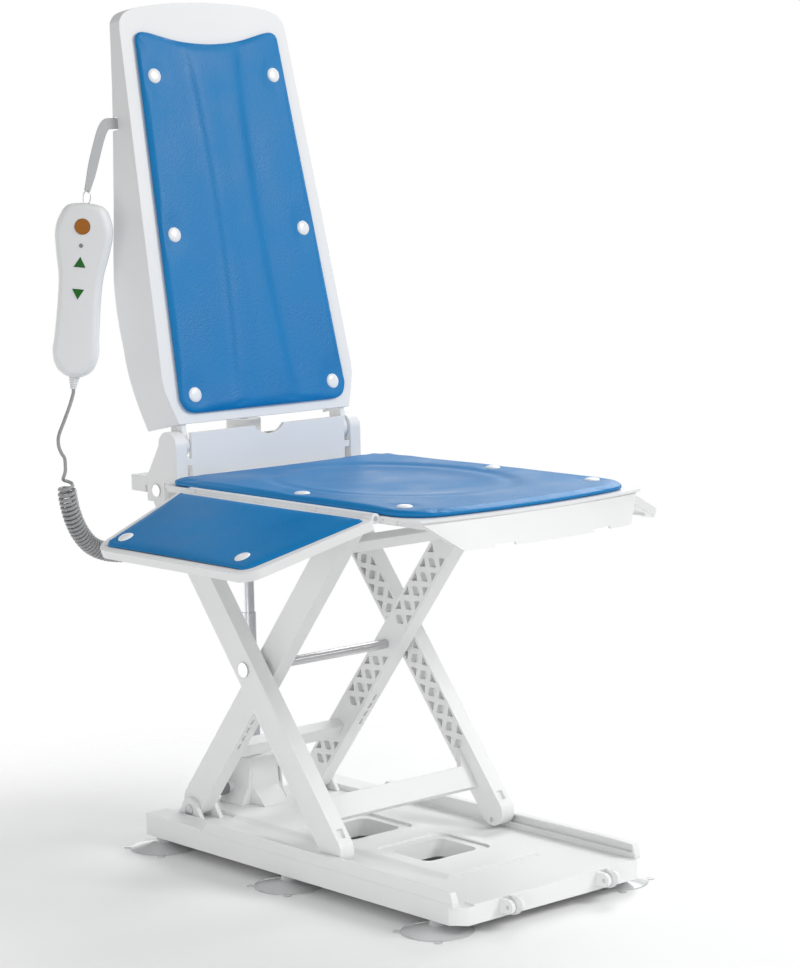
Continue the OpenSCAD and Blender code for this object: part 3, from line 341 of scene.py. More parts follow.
# %% Floor
WHITE = (1, 1, 1, 1)
FADE_FROM, FADE_TO, FLOOR_HALF = 0.40, 0.95, 2   # metres from the middle of the lift
floor_material, tree, output = fresh_material("studio_floor")
paper = add(tree, "ShaderNodeBsdfDiffuse", Color=(0.95, 0.95, 0.95, 1))
clear = add(tree, "ShaderNodeBsdfTransparent")
where = add(tree, "ShaderNodeTexCoord")
far = add(tree, "ShaderNodeVectorMath")
far.operation = "LENGTH"
fade = add(tree, "ShaderNodeMapRange", From_Min=FADE_FROM, From_Max=FADE_TO)
fade.interpolation_type = "SMOOTHSTEP"
join = add(tree, "ShaderNodeMixShader")
wire(tree, (where, "Object", far, 0), (far, "Value", fade, "Value"), (fade, "Result", join, "Fac"),
     (paper, "BSDF", join, 1), (clear, "BSDF", join, 2), (join, "Shader", output, "Surface"))

corners = [(x * FLOOR_HALF, y * FLOOR_HALF, 0) for x, y in ((-1, -1), (1, -1), (1, 1), (-1, 1))]
floor_mesh = bpy.data.meshes.new("studio_floor")
floor_mesh.from_pydata(corners, [], [(0, 1, 2, 3)])
floor_mesh.materials.append(floor_material)
linked("studio_floor", floor_mesh)
print("floor: fades out from", FADE_FROM, "to", FADE_TO, "m")

# %% World and lamps
world = bpy.data.worlds.new("white_studio")
world.use_nodes = True
tree = world.node_tree
tree.nodes.clear()
ambient = add(tree, "ShaderNodeBackground", Color=(0.985, 0.992, 1, 1), Strength=0.52)
seen, room = (add(tree, "ShaderNodeBackground", Color=WHITE) for _ in range(2))
ray, aim = add(tree, "ShaderNodeLightPath"), add(tree, "ShaderNodeTexCoord")
split = add(tree, "ShaderNodeSeparateXYZ")
wire(tree, (aim, "Generated", split, "Vector"))
glow = []
for axis, (low, high), (first, last) in (("Z", (0.16, 0.45), (1.8, 0.12)), ("Y", (-0.2, 0.4), (0.3, 1.0))):
    step = add(tree, "ShaderNodeMapRange", From_Min=low, From_Max=high, To_Min=first, To_Max=last)
    step.interpolation_type = "SMOOTHSTEP"
    wire(tree, (split, axis, step, "Value"))
    glow.append(step.outputs["Result"])
tree.links.new(number(tree, "MULTIPLY", *glow), room.inputs["Strength"])
lit, join = add(tree, "ShaderNodeMixShader"), add(tree, "ShaderNodeMixShader")
straight = number(tree, "MAXIMUM", ray.outputs["Is Camera Ray"], ray.outputs["Is Transmission Ray"])
tree.links.new(straight, join.inputs["Fac"])
wire(tree, (ray, "Is Glossy Ray", lit, "Fac"), (ambient, "Background", lit, 1),
     (room, "Background", lit, 2), (lit, "Shader", join, 1), (seen, "Background", join, 2),
     (join, "Shader", add(tree, "ShaderNodeOutputWorld"), "Surface"))
scene.world = world


def soft_lamp(name, place, target, size, power, spread=180):
    data = bpy.data.lights.new(name, "AREA")
    data.shape, data.size, data.energy = "DISK", size, power
    data.spread = math.radians(spread)
    lamp = linked(name, data)
    lamp.location = place
    lamp.rotation_euler = (Vector(target) - Vector(place)).to_track_quat("-Z", "Y").to_euler()


soft_lamp("key_lamp", (1.9, -3.0, 2.7), (0, 0, 0.45), size=1.8, power=80)
soft_lamp("top_lamp", (2.4, 1.0, 2.4), (0, 0, 0.4), size=1.6, power=44)
soft_lamp("low_lamp", (-2.3, -1.5, 0.30), (0, 0, 0.12), size=1.4, power=2.5, spread=60)
scene.view_settings.view_transform = "Standard"
print("studio: one floor, three lamps, white world")

# %% [markdown]
# Three effects are shared by the finishes, so each is a shader group with named
# inputs. Spark grain is the fine pitted skin of injection moulded plastic. Hide
# grain is the pebbled skin of the foam pads. Draw lines are the long fine scratches
# on turned pins and drawn tubes. The groups give only masks and heights that change
# over the surface; every material keeps its own shader.


# %% Shared surface groups
def new_group(name, inputs, outputs):
    """A shader group; an input with no value is a vector, and all else are numbers."""
    group = bpy.data.node_groups.new(name, "ShaderNodeTree")
    for label, value in inputs.items():
        kind = "NodeSocketVector" if value is None else "NodeSocketFloat"
        socket = group.interface.new_socket(name=label, in_out="INPUT", socket_type=kind)
        if value is not None:
            socket.default_value = value
    for label in outputs:
        group.interface.new_socket(name=label, in_out="OUTPUT", socket_type="NodeSocketFloat")
    return group, add(group, "NodeGroupInput"), add(group, "NodeGroupOutput")


def noise(group, gin, scale, detail, roughness=0.5):
    """A noise over the group's place; scale is a number or the name of an input."""
    made = add(group, "ShaderNodeTexNoise", Detail=detail, Roughness=roughness)
    wire(group, (gin, "Place", made, "Vector"))
    if isinstance(scale, str):
        wire(group, (gin, scale, made, "Scale"))
    else:
        made.inputs["Scale"].default_value = scale
    return made


spark_grain, gin, gout = new_group("spark_grain", {"Place": None, "Grain": 900.0, "Cloud": 9.0},
                                   ("Height", "Cloud"))
pits, cloud = noise(spark_grain, gin, "Grain", 2.0, 0.6), noise(spark_grain, gin, "Cloud", 3.0)
wire(spark_grain, (pits, "Fac", gout, "Height"), (cloud, "Fac", gout, "Cloud"))

hide_grain, gin, gout = new_group("hide_grain", {"Place": None, "Pebbles": 420.0, "Cloud": 14.0},
                                  ("Height", "Pebble", "Cloud"))
wobble = noise(hide_grain, gin, 160.0, 2.0)
shifted = add(hide_grain, "ShaderNodeVectorMath")
shifted.operation = "MULTIPLY_ADD"
shifted.inputs[1].default_value = (0.0016, 0.0016, 0.0016)
cells = add(hide_grain, "ShaderNodeTexVoronoi")
cells.feature = "SMOOTH_F1"
cells.inputs["Smoothness"].default_value = 0.6
pebble = number(hide_grain, "SUBTRACT", 1.0, cells.outputs["Distance"])
fine, cloud = noise(hide_grain, gin, 2400.0, 2.0), noise(hide_grain, gin, "Cloud", 3.0)
height = number(hide_grain, "MULTIPLY_ADD", fine.outputs["Fac"], 0.25, pebble)
wire(hide_grain, (wobble, "Color", shifted, 0), (gin, "Place", shifted, 2),
     (shifted, "Vector", cells, "Vector"), (gin, "Pebbles", cells, "Scale"), (cloud, "Fac", gout, "Cloud"))
hide_grain.links.new(height, gout.inputs["Height"])
hide_grain.links.new(pebble, gout.inputs["Pebble"])

draw_lines, gin, gout = new_group("draw_lines", {"Place": None, "Lines": 1.0}, ("Height", "Cloud"))
scratches, smudge = noise(draw_lines, gin, "Lines", 3.0, 0.65), noise(draw_lines, gin, 0.05, 2.0)
wire(draw_lines, (scratches, "Fac", gout, "Height"), (smudge, "Fac", gout, "Cloud"))
print("groups:", [g.name for g in (spark_grain, hide_grain, draw_lines)])

# %% [markdown]
# The finishes. Each one starts from the same recipe: a Principled shader whose colour
# wanders slightly with a soft cloud, whose roughness follows the same cloud, and whose
# normal comes from a grain. The numbers are what make one look like satin polypropylene
# and another like pebbled foam skin.


# %% Finish recipe
def finish(name, group, grain, dark, light, rough, bump, depth, stretch=(1, 1, 1), **fixed):
    """A material from one surface group: dark and light are the ends of its colour."""
    material, tree, output = fresh_material(name)
    shader = add(tree, "ShaderNodeBsdfPrincipled", **fixed)
    place, mapping = add(tree, "ShaderNodeTexCoord"), add(tree, "ShaderNodeMapping", Scale=stretch)
    surface = add(tree, "ShaderNodeGroup")
    surface.node_tree = group
    for socket, value in grain.items():
        surface.inputs[socket].default_value = value
    colour = colour_mix(tree, dark, light)
    gloss = add(tree, "ShaderNodeMapRange", From_Min=0.3, From_Max=0.7, To_Min=rough[0], To_Max=rough[1])
    skin = add(tree, "ShaderNodeBump", Strength=bump, Distance=depth)
    wire(tree, (place, "Object", mapping, "Vector"), (mapping, "Vector", surface, "Place"),
         (surface, "Cloud", colour, "Factor"), (surface, "Cloud", gloss, "Value"),
         (surface, "Height", skin, "Height"), (colour, "Result", shader, "Base Color"),
         (gloss, "Result", shader, "Roughness"), (skin, "Normal", shader, "Normal"),
         (shader, "BSDF", output, "Surface"))
    return material


# %% The lift's finishes
SPARKED = {     # slot: name, grain, cloud, dark and light ends, roughness, bump, its depth, more sockets
    "white_plastic": ("satin_white_shell", 1100, 7, (0.81, 0.812, 0.812), (0.87, 0.872, 0.872),
                      (0.38, 0.52), 0.12, 0.0004, {}),
    "white_stud": ("gloss_white_stud", 600, 40, (0.86, 0.865, 0.87), (0.92, 0.925, 0.93),
                   (0.14, 0.24), 0.05, 0.0003, {}),
    "light_grey_plastic": ("slide_shoe_grey", 900, 30, (0.58, 0.585, 0.59), (0.68, 0.685, 0.69),
                           (0.4, 0.55), 0.15, 0.0004, {}),
    "grey_plastic": ("latch_grey", 900, 30, (0.20, 0.205, 0.21), (0.27, 0.275, 0.28),
                     (0.4, 0.55), 0.2, 0.0004, {}),
    "cup_rubber": ("clear_cup_vinyl", 300, 60, (0.84, 0.85, 0.86), (0.94, 0.95, 0.95),
                   (0.10, 0.22), 0.06, 0.0006, {"Transmission_Weight": 0.45, "IOR": 1.42}),
    "grey_cord": ("cord_jacket", 700, 45, (0.29, 0.295, 0.30), (0.38, 0.385, 0.39),
                  (0.28, 0.42), 0.08, 0.0003, {}),
    "orange_plastic": ("stop_orange", 900, 90, (0.33, 0.10, 0.0), (0.44, 0.145, 0.002),
                       (0.3, 0.45), 0.12, 0.0003, {"Specular_IOR_Level": 0.2}),
    "green_plastic": ("arrow_green", 900, 90, (0.0, 0.10, 0.002), (0.003, 0.16, 0.004),
                      (0.3, 0.45), 0.12, 0.0003, {"Specular_IOR_Level": 0.2})}
FINISH = {slot: finish(name, spark_grain, {"Grain": grain, "Cloud": cloud}, *look, **more)
          for slot, (name, grain, cloud, *look, more) in SPARKED.items()}
FINISH["pin_metal"] = finish("turned_pin", draw_lines, {"Lines": 1.0}, (0.55, 0.55, 0.56),
                             (0.70, 0.70, 0.71), (0.22, 0.42), 0.1, 0.0002,
                             stretch=(120, 2400, 2400), Metallic=1.0)
FINISH["tube_metal"] = finish("drawn_tube", draw_lines, {"Lines": 1.0}, (0.50, 0.51, 0.53),
                              (0.66, 0.67, 0.69), (0.26, 0.44), 0.1, 0.0002,
                              stretch=(1800, 1800, 20), Metallic=1.0)
FINISH["blue_pad"] = finish("blue_foam_skin", hide_grain, {"Pebbles": 420, "Cloud": 14},
                            (0.0, 0.17, 0.44), (0.002, 0.225, 0.55), (0.36, 0.50), 0.35, 0.0006,
                            Specular_IOR_Level=0.30)
print("finishes:", sorted(FINISH))

# %% [markdown]
# The strap is woven webbing. Its two thread directions are two sets of fine waves
# turned to each other by the mapping, and the higher of the two wins at each point,
# which is how an over-and-under weave looks from a step away.

# %% Webbing
THREAD_SLANTS = (35, -55)
webbing, tree, output = fresh_material("woven_strap")
shader = add(tree, "ShaderNodeBsdfPrincipled", Sheen_Weight=0.3)
place = add(tree, "ShaderNodeTexCoord")
threads = []
for slant in THREAD_SLANTS:
    mapping = add(tree, "ShaderNodeMapping", Rotation=(0, math.radians(slant), 0))
    wave = add(tree, "ShaderNodeTexWave", Scale=260, Distortion=0.6)
    wire(tree, (place, "Object", mapping, "Vector"), (mapping, "Vector", wave, "Vector"))
    threads.append(wave.outputs["Fac"])
colour = colour_mix(tree, (0.34, 0.345, 0.35), (0.56, 0.565, 0.57))
gloss = add(tree, "ShaderNodeMapRange", To_Min=0.85, To_Max=0.6)
skin = add(tree, "ShaderNodeBump", Strength=0.5, Distance=0.0005)
over = number(tree, "MAXIMUM", *threads)
for target in (colour.inputs["Factor"], gloss.inputs["Value"], skin.inputs["Height"]):
    tree.links.new(over, target)
wire(tree, (colour, "Result", shader, "Base Color"), (gloss, "Result", shader, "Roughness"),
     (skin, "Normal", shader, "Normal"), (shader, "BSDF", output, "Surface"))
FINISH["grey_strap"] = webbing
print("webbing:", len(threads), "thread directions")

# %% [markdown]
# Every node that is carried over takes the finish of its slot, and so does the cord.

# %% Dress the nodes
SLOT = {row["node"]: row["material_slot"] for row in frame["record"]["subparts"]}


def dress(piece, material):
    piece.data.materials.clear()
    piece.data.materials.append(material)


def stand_in(piece, node):
    """Gives a piece the slot, finish and body of the node that it replaces."""
    dress(piece, FINISH[SLOT[node]])
    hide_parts(node)
    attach(piece, NODES[node]["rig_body"])


for name, node in NODES.items():
    dress(node, FINISH[SLOT[name]])
dress(curly_cord, FINISH["grey_cord"])
print("dressed:", len(NODES), "nodes")

# %% [markdown]
# The mouldings. On the real lift every edge of the white plastic is rounded, because
# a sharp one would not leave its mould and would not be kind to skin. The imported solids
# have sharp edges, so each moulding is copied, its loose triangles are merged and its
# flat faces joined up, and a Bevel rounds the edges that are chosen by their angle.
# Modelling the rounds in the source would be heavier and would not help the simulation.

# %% Rounded copies of the mouldings
WELD = 2e-5                                      # metres within which points are merged
FLAT, SHARP, CREASED = 0.6, 32, 40               # degrees: joined up, rounded, shaded sharp


def eased(node, width, segments=2, reshape=None, skip=None):
    """A copy of a node with its sharp edges rounded by width, in mm, but for those skipped."""
    mesh = NODES[node].data.copy()
    cleaner = bmesh.new()
    cleaner.from_mesh(mesh)
    bmesh.ops.remove_doubles(cleaner, verts=cleaner.verts, dist=WELD)
    bmesh.ops.dissolve_limit(cleaner, angle_limit=math.radians(FLAT), verts=cleaner.verts,
                             edges=cleaner.edges)
    if reshape is not None:
        for vertex in cleaner.verts:
            vertex.co = reshape(vertex.co)
    chosen = cleaner.edges.layers.float.new("bevel_weight_edge")
    for edge in cleaner.edges:
        middle = (edge.verts[0].co + edge.verts[1].co) / 2
        bent = edge.is_manifold and edge.calc_face_angle(0) > math.radians(SHARP)
        edge[chosen] = 1.0 if bent and not (skip and skip(middle)) else 0.0
    cleaner.to_mesh(mesh)
    cleaner.free()
    shade(mesh, SHARP)
    copy = linked(node + "_eased", mesh)
    bevel = copy.modifiers.new("edges", "BEVEL")
    bevel.width, bevel.segments = width / 1000, segments
    bevel.limit_method, bevel.miter_outer = "WEIGHT", "MITER_ARC"
    bevel.use_clamp_overlap, bevel.loop_slide = True, False
    shade(baked(copy), CREASED)
    evener = copy.modifiers.new("flat_faces", "WEIGHTED_NORMAL")
    evener.keep_sharp, evener.weight = True, 50
    baked(copy)
    stand_in(copy, node)
    return copy


# %% [markdown]
# Some mouldings need a word more. The backrest's front edge is drawn in to an even rim
# round its pad, which slopes its flanks. The ribs under the seat and inside the base
# stay sharp, and so do two narrow leg pockets in which a rounded edge would fold over.

# %% What is reshaped, and what stays sharp
RIM = 20.0                                       # flat rim left round the backrest pad


def pad_half(up):
    """Half the width of the backrest pad, at a height above the hinge along it."""
    return 133 - (up - 35) * 21 / 474


def along_back(point):
    """Height up the backrest from its hinge, and how far forward of it, in mm."""
    local = point * 1000 - Vector((0, HINGE_Y + SHIFT_Y, HINGE_Z))
    return (local.y * math.sin(LEAN) + local.z * math.cos(LEAN),
            local.z * math.sin(LEAN) - local.y * math.cos(LEAN))


depths = [along_back(v.co)[1] for v in NODES["backrest_shell"].data.vertices]
REAR, FACE = min(depths), max(depths)


def sloped_flank(point):
    """Draws the front edge of the backrest in to an even rim, which slopes its flanks."""
    up, front = along_back(point)
    limit = pad_half(min(max(up, 20), 520)) + RIM
    beyond = abs(point.x) * 1000 - limit
    if beyond <= 0:
        return point
    x = limit + beyond * (FACE - front) / (FACE - REAR)
    return Vector((math.copysign(x, point.x) / 1000, point.y, point.z))


def under_seat(point):
    """True among the ribs below the seat plate."""
    x, y, z = point * 1000
    return z < 467.2 and y - SHIFT_Y > -262 and abs(x) < 166


def under_base(point):
    """True among the ribs inside the base."""
    return point.z < 0.036 and abs(point.x) < 0.148


def near(*middle):
    """A test for the edges of one narrow pocket of a leg, round a point in mm."""
    return lambda point: (point * 1000 - Vector(middle)).length < 30


RESHAPE = {"backrest_shell": sloped_flank}
SKIP = {"seat_shell": under_seat, "base_tray": under_base,
        "inner_leg_right": near(-86, -5, 354), "outer_leg_left": near(119, 202, 404)}
print("backrest: from", round(REAR, 1), "to", round(FACE, 1), "mm of its hinge")

# %% Round the mouldings
EDGE_ROUND = {
    "base_tray": 1.6, "rail_right": 0.4, "rail_left": 0.4, "pivot_bracket_right": 1.2,
    "pivot_bracket_left": 1.2, "column_foot": 2.0, "foot_latch": 0.8, "roller_right": 0.9,
    "roller_left": 0.9, "inner_leg_right": 0.5, "inner_leg_left": 0.5, "outer_leg_right": 0.8,
    "outer_leg_left": 0.8, "inner_crossbar_low": 1.2, "inner_crossbar_top": 1.2,
    "outer_crossbar": 1.2, "lower_shoes": 0.4, "upper_shoes": 0.4, "seat_shell": 1.0,
    "seat_channels": 0.8, "tower_right": 1.6, "tower_left": 1.6, "lumbar_panel": 1.6,
    "rear_beam": 1.6, "drive_housing": 2.0, "drive_motor": 0.7, "flap_right": 1.6,
    "flap_left": 1.6, "backrest_shell": 1.7, "backrest_lugs": 1.5, "handset_battery": 0.8}
for name, width in EDGE_ROUND.items():
    copy = eased(name, width, reshape=RESHAPE.get(name), skip=SKIP.get(name))
    print("rounded:", name, len(copy.data.polygons), "faces")

# %% [markdown]
# The pads are closed-cell foam with a pebbled skin, pressed into shape and held down
# by round studs. A flat slab would look like card, so each one is treated as a cushion:
# the imported form is copied and subdivided into even small faces, blown up a little as
# cloth with pressure, and held where the studs press it and where it lies on its plate.
# What the pressure may move is capped to about a millimetre, because foam is firm.
# Creases and a basin groove are pressed in afterwards, as the real ones are.

# %% Foam pad by cloth pressure
PRESSURE, FRAMES, PUFF = 4.0, 20, 0.0012         # PUFF caps what the pressure may move
HELD_UNDER, HELD_ROUND = 0.2, 0.013              # held: faces turned away, and round a stud


def coordinates(mesh):
    flat = np.zeros(len(mesh.vertices) * 3, np.float64)
    mesh.vertices.foreach_get("co", flat)
    return flat.reshape(-1, 3)


def vertex_normals(mesh):
    flat = np.zeros(len(mesh.vertices) * 3, np.float64)
    mesh.vertex_normals.foreach_get("vector", flat)
    return flat.reshape(-1, 3)


def move_to(mesh, points):
    mesh.vertices.foreach_set("co", points.ravel())
    mesh.update()


def subdivided(piece, levels):
    finer = piece.modifiers.new("finer", "SUBSURF")
    finer.levels = finer.render_levels = levels
    return baked(piece)


def blown_up(pad, start, fixed):
    """Where cloth pressure takes the points of a pad; the fixed ones stay."""
    held = pad.vertex_groups.new(name="held")
    for i in np.nonzero(fixed)[0]:
        held.add([int(i)], 1.0, "REPLACE")
    cloth = pad.modifiers.new("foam", "CLOTH")
    cloth.settings.use_pressure = True
    cloth.settings.uniform_pressure_force = PRESSURE
    cloth.settings.effector_weights.gravity = 0
    cloth.settings.vertex_group_mass = "held"
    cloth.settings.quality = 4
    cloth.point_cache.frame_start, cloth.point_cache.frame_end = 1, FRAMES
    for f in range(1, FRAMES + 1):
        scene.frame_set(f)
    move = coordinates(evaluated(pad)) - start
    pad.modifiers.clear()
    scene.frame_set(1)
    length = np.linalg.norm(move, axis=1, keepdims=True)
    return start + move * np.minimum(1.0, PUFF / np.maximum(length, 1e-9))


def foam_pad(node, name, facing, studs, press=None):
    """A pad made from a node: facing is its way out, studs are the points that hold it."""
    mesh = NODES[node].data.copy()
    cleaner = bmesh.new()
    cleaner.from_mesh(mesh)
    bmesh.ops.remove_doubles(cleaner, verts=cleaner.verts, dist=WELD)
    bmesh.ops.join_triangles(cleaner, faces=cleaner.faces, angle_face_threshold=math.radians(50),
                             angle_shape_threshold=math.radians(70))
    cleaner.to_mesh(mesh)
    cleaner.free()
    pad = linked(name, mesh)
    mesh = subdivided(pad, 2)
    points, facing = coordinates(mesh), np.array(facing, float)
    away = vertex_normals(mesh) @ facing < HELD_UNDER
    reach = np.min([np.linalg.norm(points - np.array(s), axis=1) for s in studs], axis=0)
    points = blown_up(pad, points, away | (reach < HELD_ROUND))
    move_to(mesh, points)
    mesh = subdivided(pad, 1)
    if press is not None:
        move_to(mesh, press(coordinates(mesh), vertex_normals(mesh) @ facing))
    shade(mesh)
    stand_in(pad, node)
    print("pad:", name, len(mesh.polygons), "faces")


# %% [markdown]
# Where the studs sit. The flaps hang from hinges beside the seat and droop by 21
# degrees, so their points are given flat, from the hinge, and turned with the flap.

# %% Stud places
DROOP, FLAP_X, FLAP_Z = math.radians(21), 183.0, 468.0
SIDES_OF = {-1: "right", 1: "left"}              # the sitter's, by the sign of X
OUT_SEAT = Vector((0, 0, 1))
OUT_BACK = Vector((0, -math.cos(LEAN), math.sin(LEAN)))
OUT_FLAP = {side: Vector((side * math.sin(DROOP), 0, math.cos(DROOP))) for side in SIDES_OF}


def on_flap(side, across, y, height):
    x = FLAP_X + across * math.cos(DROOP) + height * math.sin(DROOP)
    return mm(side * x, y, FLAP_Z - across * math.sin(DROOP) + height * math.cos(DROOP))


seat_studs = [mm(side * x, y, 478) for side in SIDES_OF for x, y in ((151, -48), (147.5, -222))]
back_studs = [on_back(side * x, a, 22.4) for side in SIDES_OF
              for x, a in ((94, 456), (102.3, 257), (110, 58))]
flap_studs = {side: [on_flap(side, 124, y, 7) for y in (92, -126)] for side in SIDES_OF}
print("studs:", len(seat_studs) + len(back_studs) + sum(map(len, flap_studs.values())))

# %% [markdown]
# The backrest pad has two long creases that bow in towards its middle, and the seat has
# a shallow basin with a soft edge. Both are pressed along lines given in the drawing.

# %% Backrest, seat and flap pads
STEP_DEEP, STEP_SOFT, STEP_FADE = 0.0008, 5, 34  # metres deep; millimetres across
BASIN_X, BASIN_Y, BASIN_BACK = 0.122, 0.168, 0.035
GROOVE_W, GROOVE_DEEP, GROOVE_RUN = 0.011, 0.0017, 0.14


def press_back(points, out):
    """Two long steps, on the lines where the raised middle band ends."""
    local = points * 1000 - np.array([0, HINGE_Y + SHIFT_Y, HINGE_Z])
    up = local[:, 1] * math.sin(LEAN) + local[:, 2] * math.cos(LEAN)
    crease = (0.25 + 0.1 * ((up - 275) / 230) ** 2) * pad_half(up)
    beside = np.abs(local[:, 0]) - crease
    step = STEP_DEEP * np.tanh(beside / STEP_SOFT) * np.exp(-(beside / STEP_FADE) ** 2) * np.clip(out, 0, 1)
    fade = np.clip((up - 45) / 40, 0, 1) * np.clip((505 - up) / 60, 0, 1)
    return points - (step * fade)[:, None] * np.array(OUT_BACK)


def press_seat(points, out):
    """A soft groove round the basin."""
    ring_at = np.hypot(points[:, 0] / BASIN_X, (points[:, 1] + BASIN_BACK) / BASIN_Y)
    groove = GROOVE_DEEP * np.exp(-((ring_at - 1) * GROOVE_RUN / GROOVE_W) ** 2) * np.clip(out, 0, 1)
    return points - groove[:, None] * np.array(OUT_SEAT)


foam_pad("seat_pad", "seat_cushion", OUT_SEAT, seat_studs, press_seat)
foam_pad("backrest_pad", "back_cushion", OUT_BACK, back_studs, press_back)
for side, hand in SIDES_OF.items():
    foam_pad("flap_pad_" + hand, "flap_cushion_" + hand, OUT_FLAP[side], flap_studs[side])

# %% [markdown]
# The studs are glossy white buttons that pin the pads down: six on the backrest, four
# on the seat, two on each flap. They repeat, so a Geometry Nodes tree makes one flat
# dome and sets it on every point of a small cloud, turned to face out of its pad. The
# result is baked to a plain mesh for each body, because instances do not export.


# %% Helpers for trees that repeat a piece
def new_tree(name, inputs):
    """A Geometry Nodes tree with places and a finish, other named inputs and a result."""
    tree = bpy.data.node_groups.new(name, "GeometryNodeTree")
    inputs = {"Places": "Geometry", **inputs, "Finish": "Material"}
    for label, kind in inputs.items():
        tree.interface.new_socket(name=label, in_out="INPUT", socket_type="NodeSocket" + kind)
    tree.interface.new_socket(name="Result", in_out="OUTPUT", socket_type="NodeSocketGeometry")
    return tree, add(tree, "NodeGroupInput"), add(tree, "NodeGroupOutput")


def plant(tree, gin, gout, instance, turn):
    """Sets a turned instance on every place, and makes it real, smooth and coated."""
    each, real = add(tree, "GeometryNodeInstanceOnPoints"), add(tree, "GeometryNodeRealizeInstances")
    soft, coat = add(tree, "GeometryNodeSetShadeSmooth"), add(tree, "GeometryNodeSetMaterial")
    tree.links.new(instance, each.inputs["Instance"])
    tree.links.new(turn, each.inputs["Rotation"])
    wire(tree, (gin, "Places", each, "Points"), (each, "Instances", real, "Geometry"),
         (real, "Geometry", soft, 0), (soft, 0, coat, "Geometry"), (gin, "Finish", coat, "Material"),
         (coat, "Geometry", gout, "Result"))


def grown(name, tree, points, slot, **values):
    """A piece that a tree grows on points, in the finish of its slot."""
    mesh = bpy.data.meshes.new(name)
    mesh.from_pydata([tuple(p) for p in points], [], [])
    piece = linked(name, mesh)
    maker = piece.modifiers.new("maker", "NODES")
    maker.node_group = tree
    values["Finish"] = FINISH[slot]
    for item in tree.interface.items_tree:
        if item.in_out == "INPUT" and item.name in values:
            maker[item.identifier] = values[item.name]
    baked(piece)
    return piece


# %% A tree for domed studs
stud_tree, gin, gout = new_tree("domed_studs", {"Radius": "Float", "Height": "Float", "Facing": "Vector"})
ball = add(stud_tree, "GeometryNodeMeshUVSphere", Segments=32, Rings=18, Radius=1.0)
here, split = add(stud_tree, "GeometryNodeInputPosition"), add(stud_tree, "ShaderNodeSeparateXYZ")
x, y, z = (split.outputs[axis] for axis in "XYZ")
spread = number(stud_tree, "ADD", number(stud_tree, "POWER", x, 2.0), number(stud_tree, "POWER", y, 2.0))
rest = number(stud_tree, "SUBTRACT", 1.0, number(stud_tree, "POWER", spread, 1.7))
crown = number(stud_tree, "SQRT", number(stud_tree, "MAXIMUM", rest, 0.0))
lift = number(stud_tree, "MULTIPLY", number(stud_tree, "SIGN", z),
              number(stud_tree, "MULTIPLY", crown, gin.outputs["Height"]))
dome = add(stud_tree, "ShaderNodeCombineXYZ")
for axis, value in (("X", number(stud_tree, "MULTIPLY", x, gin.outputs["Radius"])),
                    ("Y", number(stud_tree, "MULTIPLY", y, gin.outputs["Radius"])), ("Z", lift)):
    stud_tree.links.new(value, dome.inputs[axis])
shape = add(stud_tree, "GeometryNodeSetPosition")
face_out = add(stud_tree, "FunctionNodeAlignRotationToVector")
face_out.axis = "Z"
wire(stud_tree, (here, "Position", split, "Vector"), (ball, "Mesh", shape, "Geometry"),
     (dome, "Vector", shape, "Position"), (gin, "Facing", face_out, "Vector"))
plant(stud_tree, gin, gout, shape.outputs["Geometry"], face_out.outputs["Rotation"])
print("stud tree:", len(stud_tree.nodes), "nodes")

# %% Set the studs
STUD_R, STUD_H = 0.0095, 0.0026
stud_rows = [("seat_studs", seat_studs, OUT_SEAT), ("backrest_studs", back_studs, OUT_BACK)]
stud_rows += [("flap_studs_" + hand, flap_studs[side], OUT_FLAP[side]) for side, hand in SIDES_OF.items()]
for node, points, facing in stud_rows:
    studs = grown(node + "_domed", stud_tree, points, "white_stud", Radius=STUD_R, Height=STUD_H,
                  Facing=list(facing))
    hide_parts(node)
    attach(studs, NODES[node]["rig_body"])
    print("studs:", node, len(studs.data.polygons), "faces")

# %% [markdown]
# Six suction cups hold the base to the bath. Each is a thin clear bell with a rolled
# lip, a stem up to the base and two pull tabs on its rim. One cup is lathed from its
# profile here, and a second tree sets it on the six places, each side with its own turn.


# %% One suction cup
def lathe(profile, count):
    """Vertices and faces of a profile, as radius and height in mm, turned about Z."""
    rows = [Vector((r * math.cos(t), r * math.sin(t), z)) / 1000
            for t in (2 * math.pi * k / count for k in range(count)) for r, z in profile]
    return rows, loft_faces(count, len(profile), closed=True)


CUP_PROFILE = [(0.01, 14), (8.4, 14), (9, 13.4), (9, 9.0), (9.8, 8.3), (12, 7.9), (16, 7.2), (22, 5.9),
               (28, 4.6), (34, 3.2), (38.5, 2.1), (40.6, 1.5), (41.6, 1.25), (42, 0.7), (41.7, 0.2),
               (41, 0), (39.4, 0), (37, 0.5), (30, 1.8), (22, 3.1), (13, 4.4), (0.01, 5.0)]
TAB_AT, TAB_R, TAB_STEPS = 46, 4.6, 12
TAB_LAYERS = ((0.1, 0.3), (0.3, 0), (1.0, 0), (1.2, 0.3))     # height and inset, in mm
tip = [math.pi * (k / TAB_STEPS - 0.5) for k in range(TAB_STEPS + 1)]
tab_outline = ([(40.6, -5.2), (43, -4.7)] + [(TAB_AT + TAB_R * math.cos(t), TAB_R * math.sin(t)) for t in tip]
               + [(43, 4.7), (40.6, 5.2)])
vertices, faces = lathe(CUP_PROFILE, 72)
for turn in (0, math.pi / 2):
    base = len(vertices)
    for height, inset in TAB_LAYERS:
        for x, y in tab_outline:
            x, y = x - inset * (x > 44), y * (1 - inset / 5)
            vertices.append(Vector((x * math.cos(turn) - y * math.sin(turn),
                                    x * math.sin(turn) + y * math.cos(turn), height)) / 1000)
    faces += [tuple(i + base for i in face) for face in loft_faces(len(TAB_LAYERS), len(tab_outline))]
one_cup = new_piece("one_cup", vertices, faces)
print("cup:", len(one_cup.data.polygons), "faces")

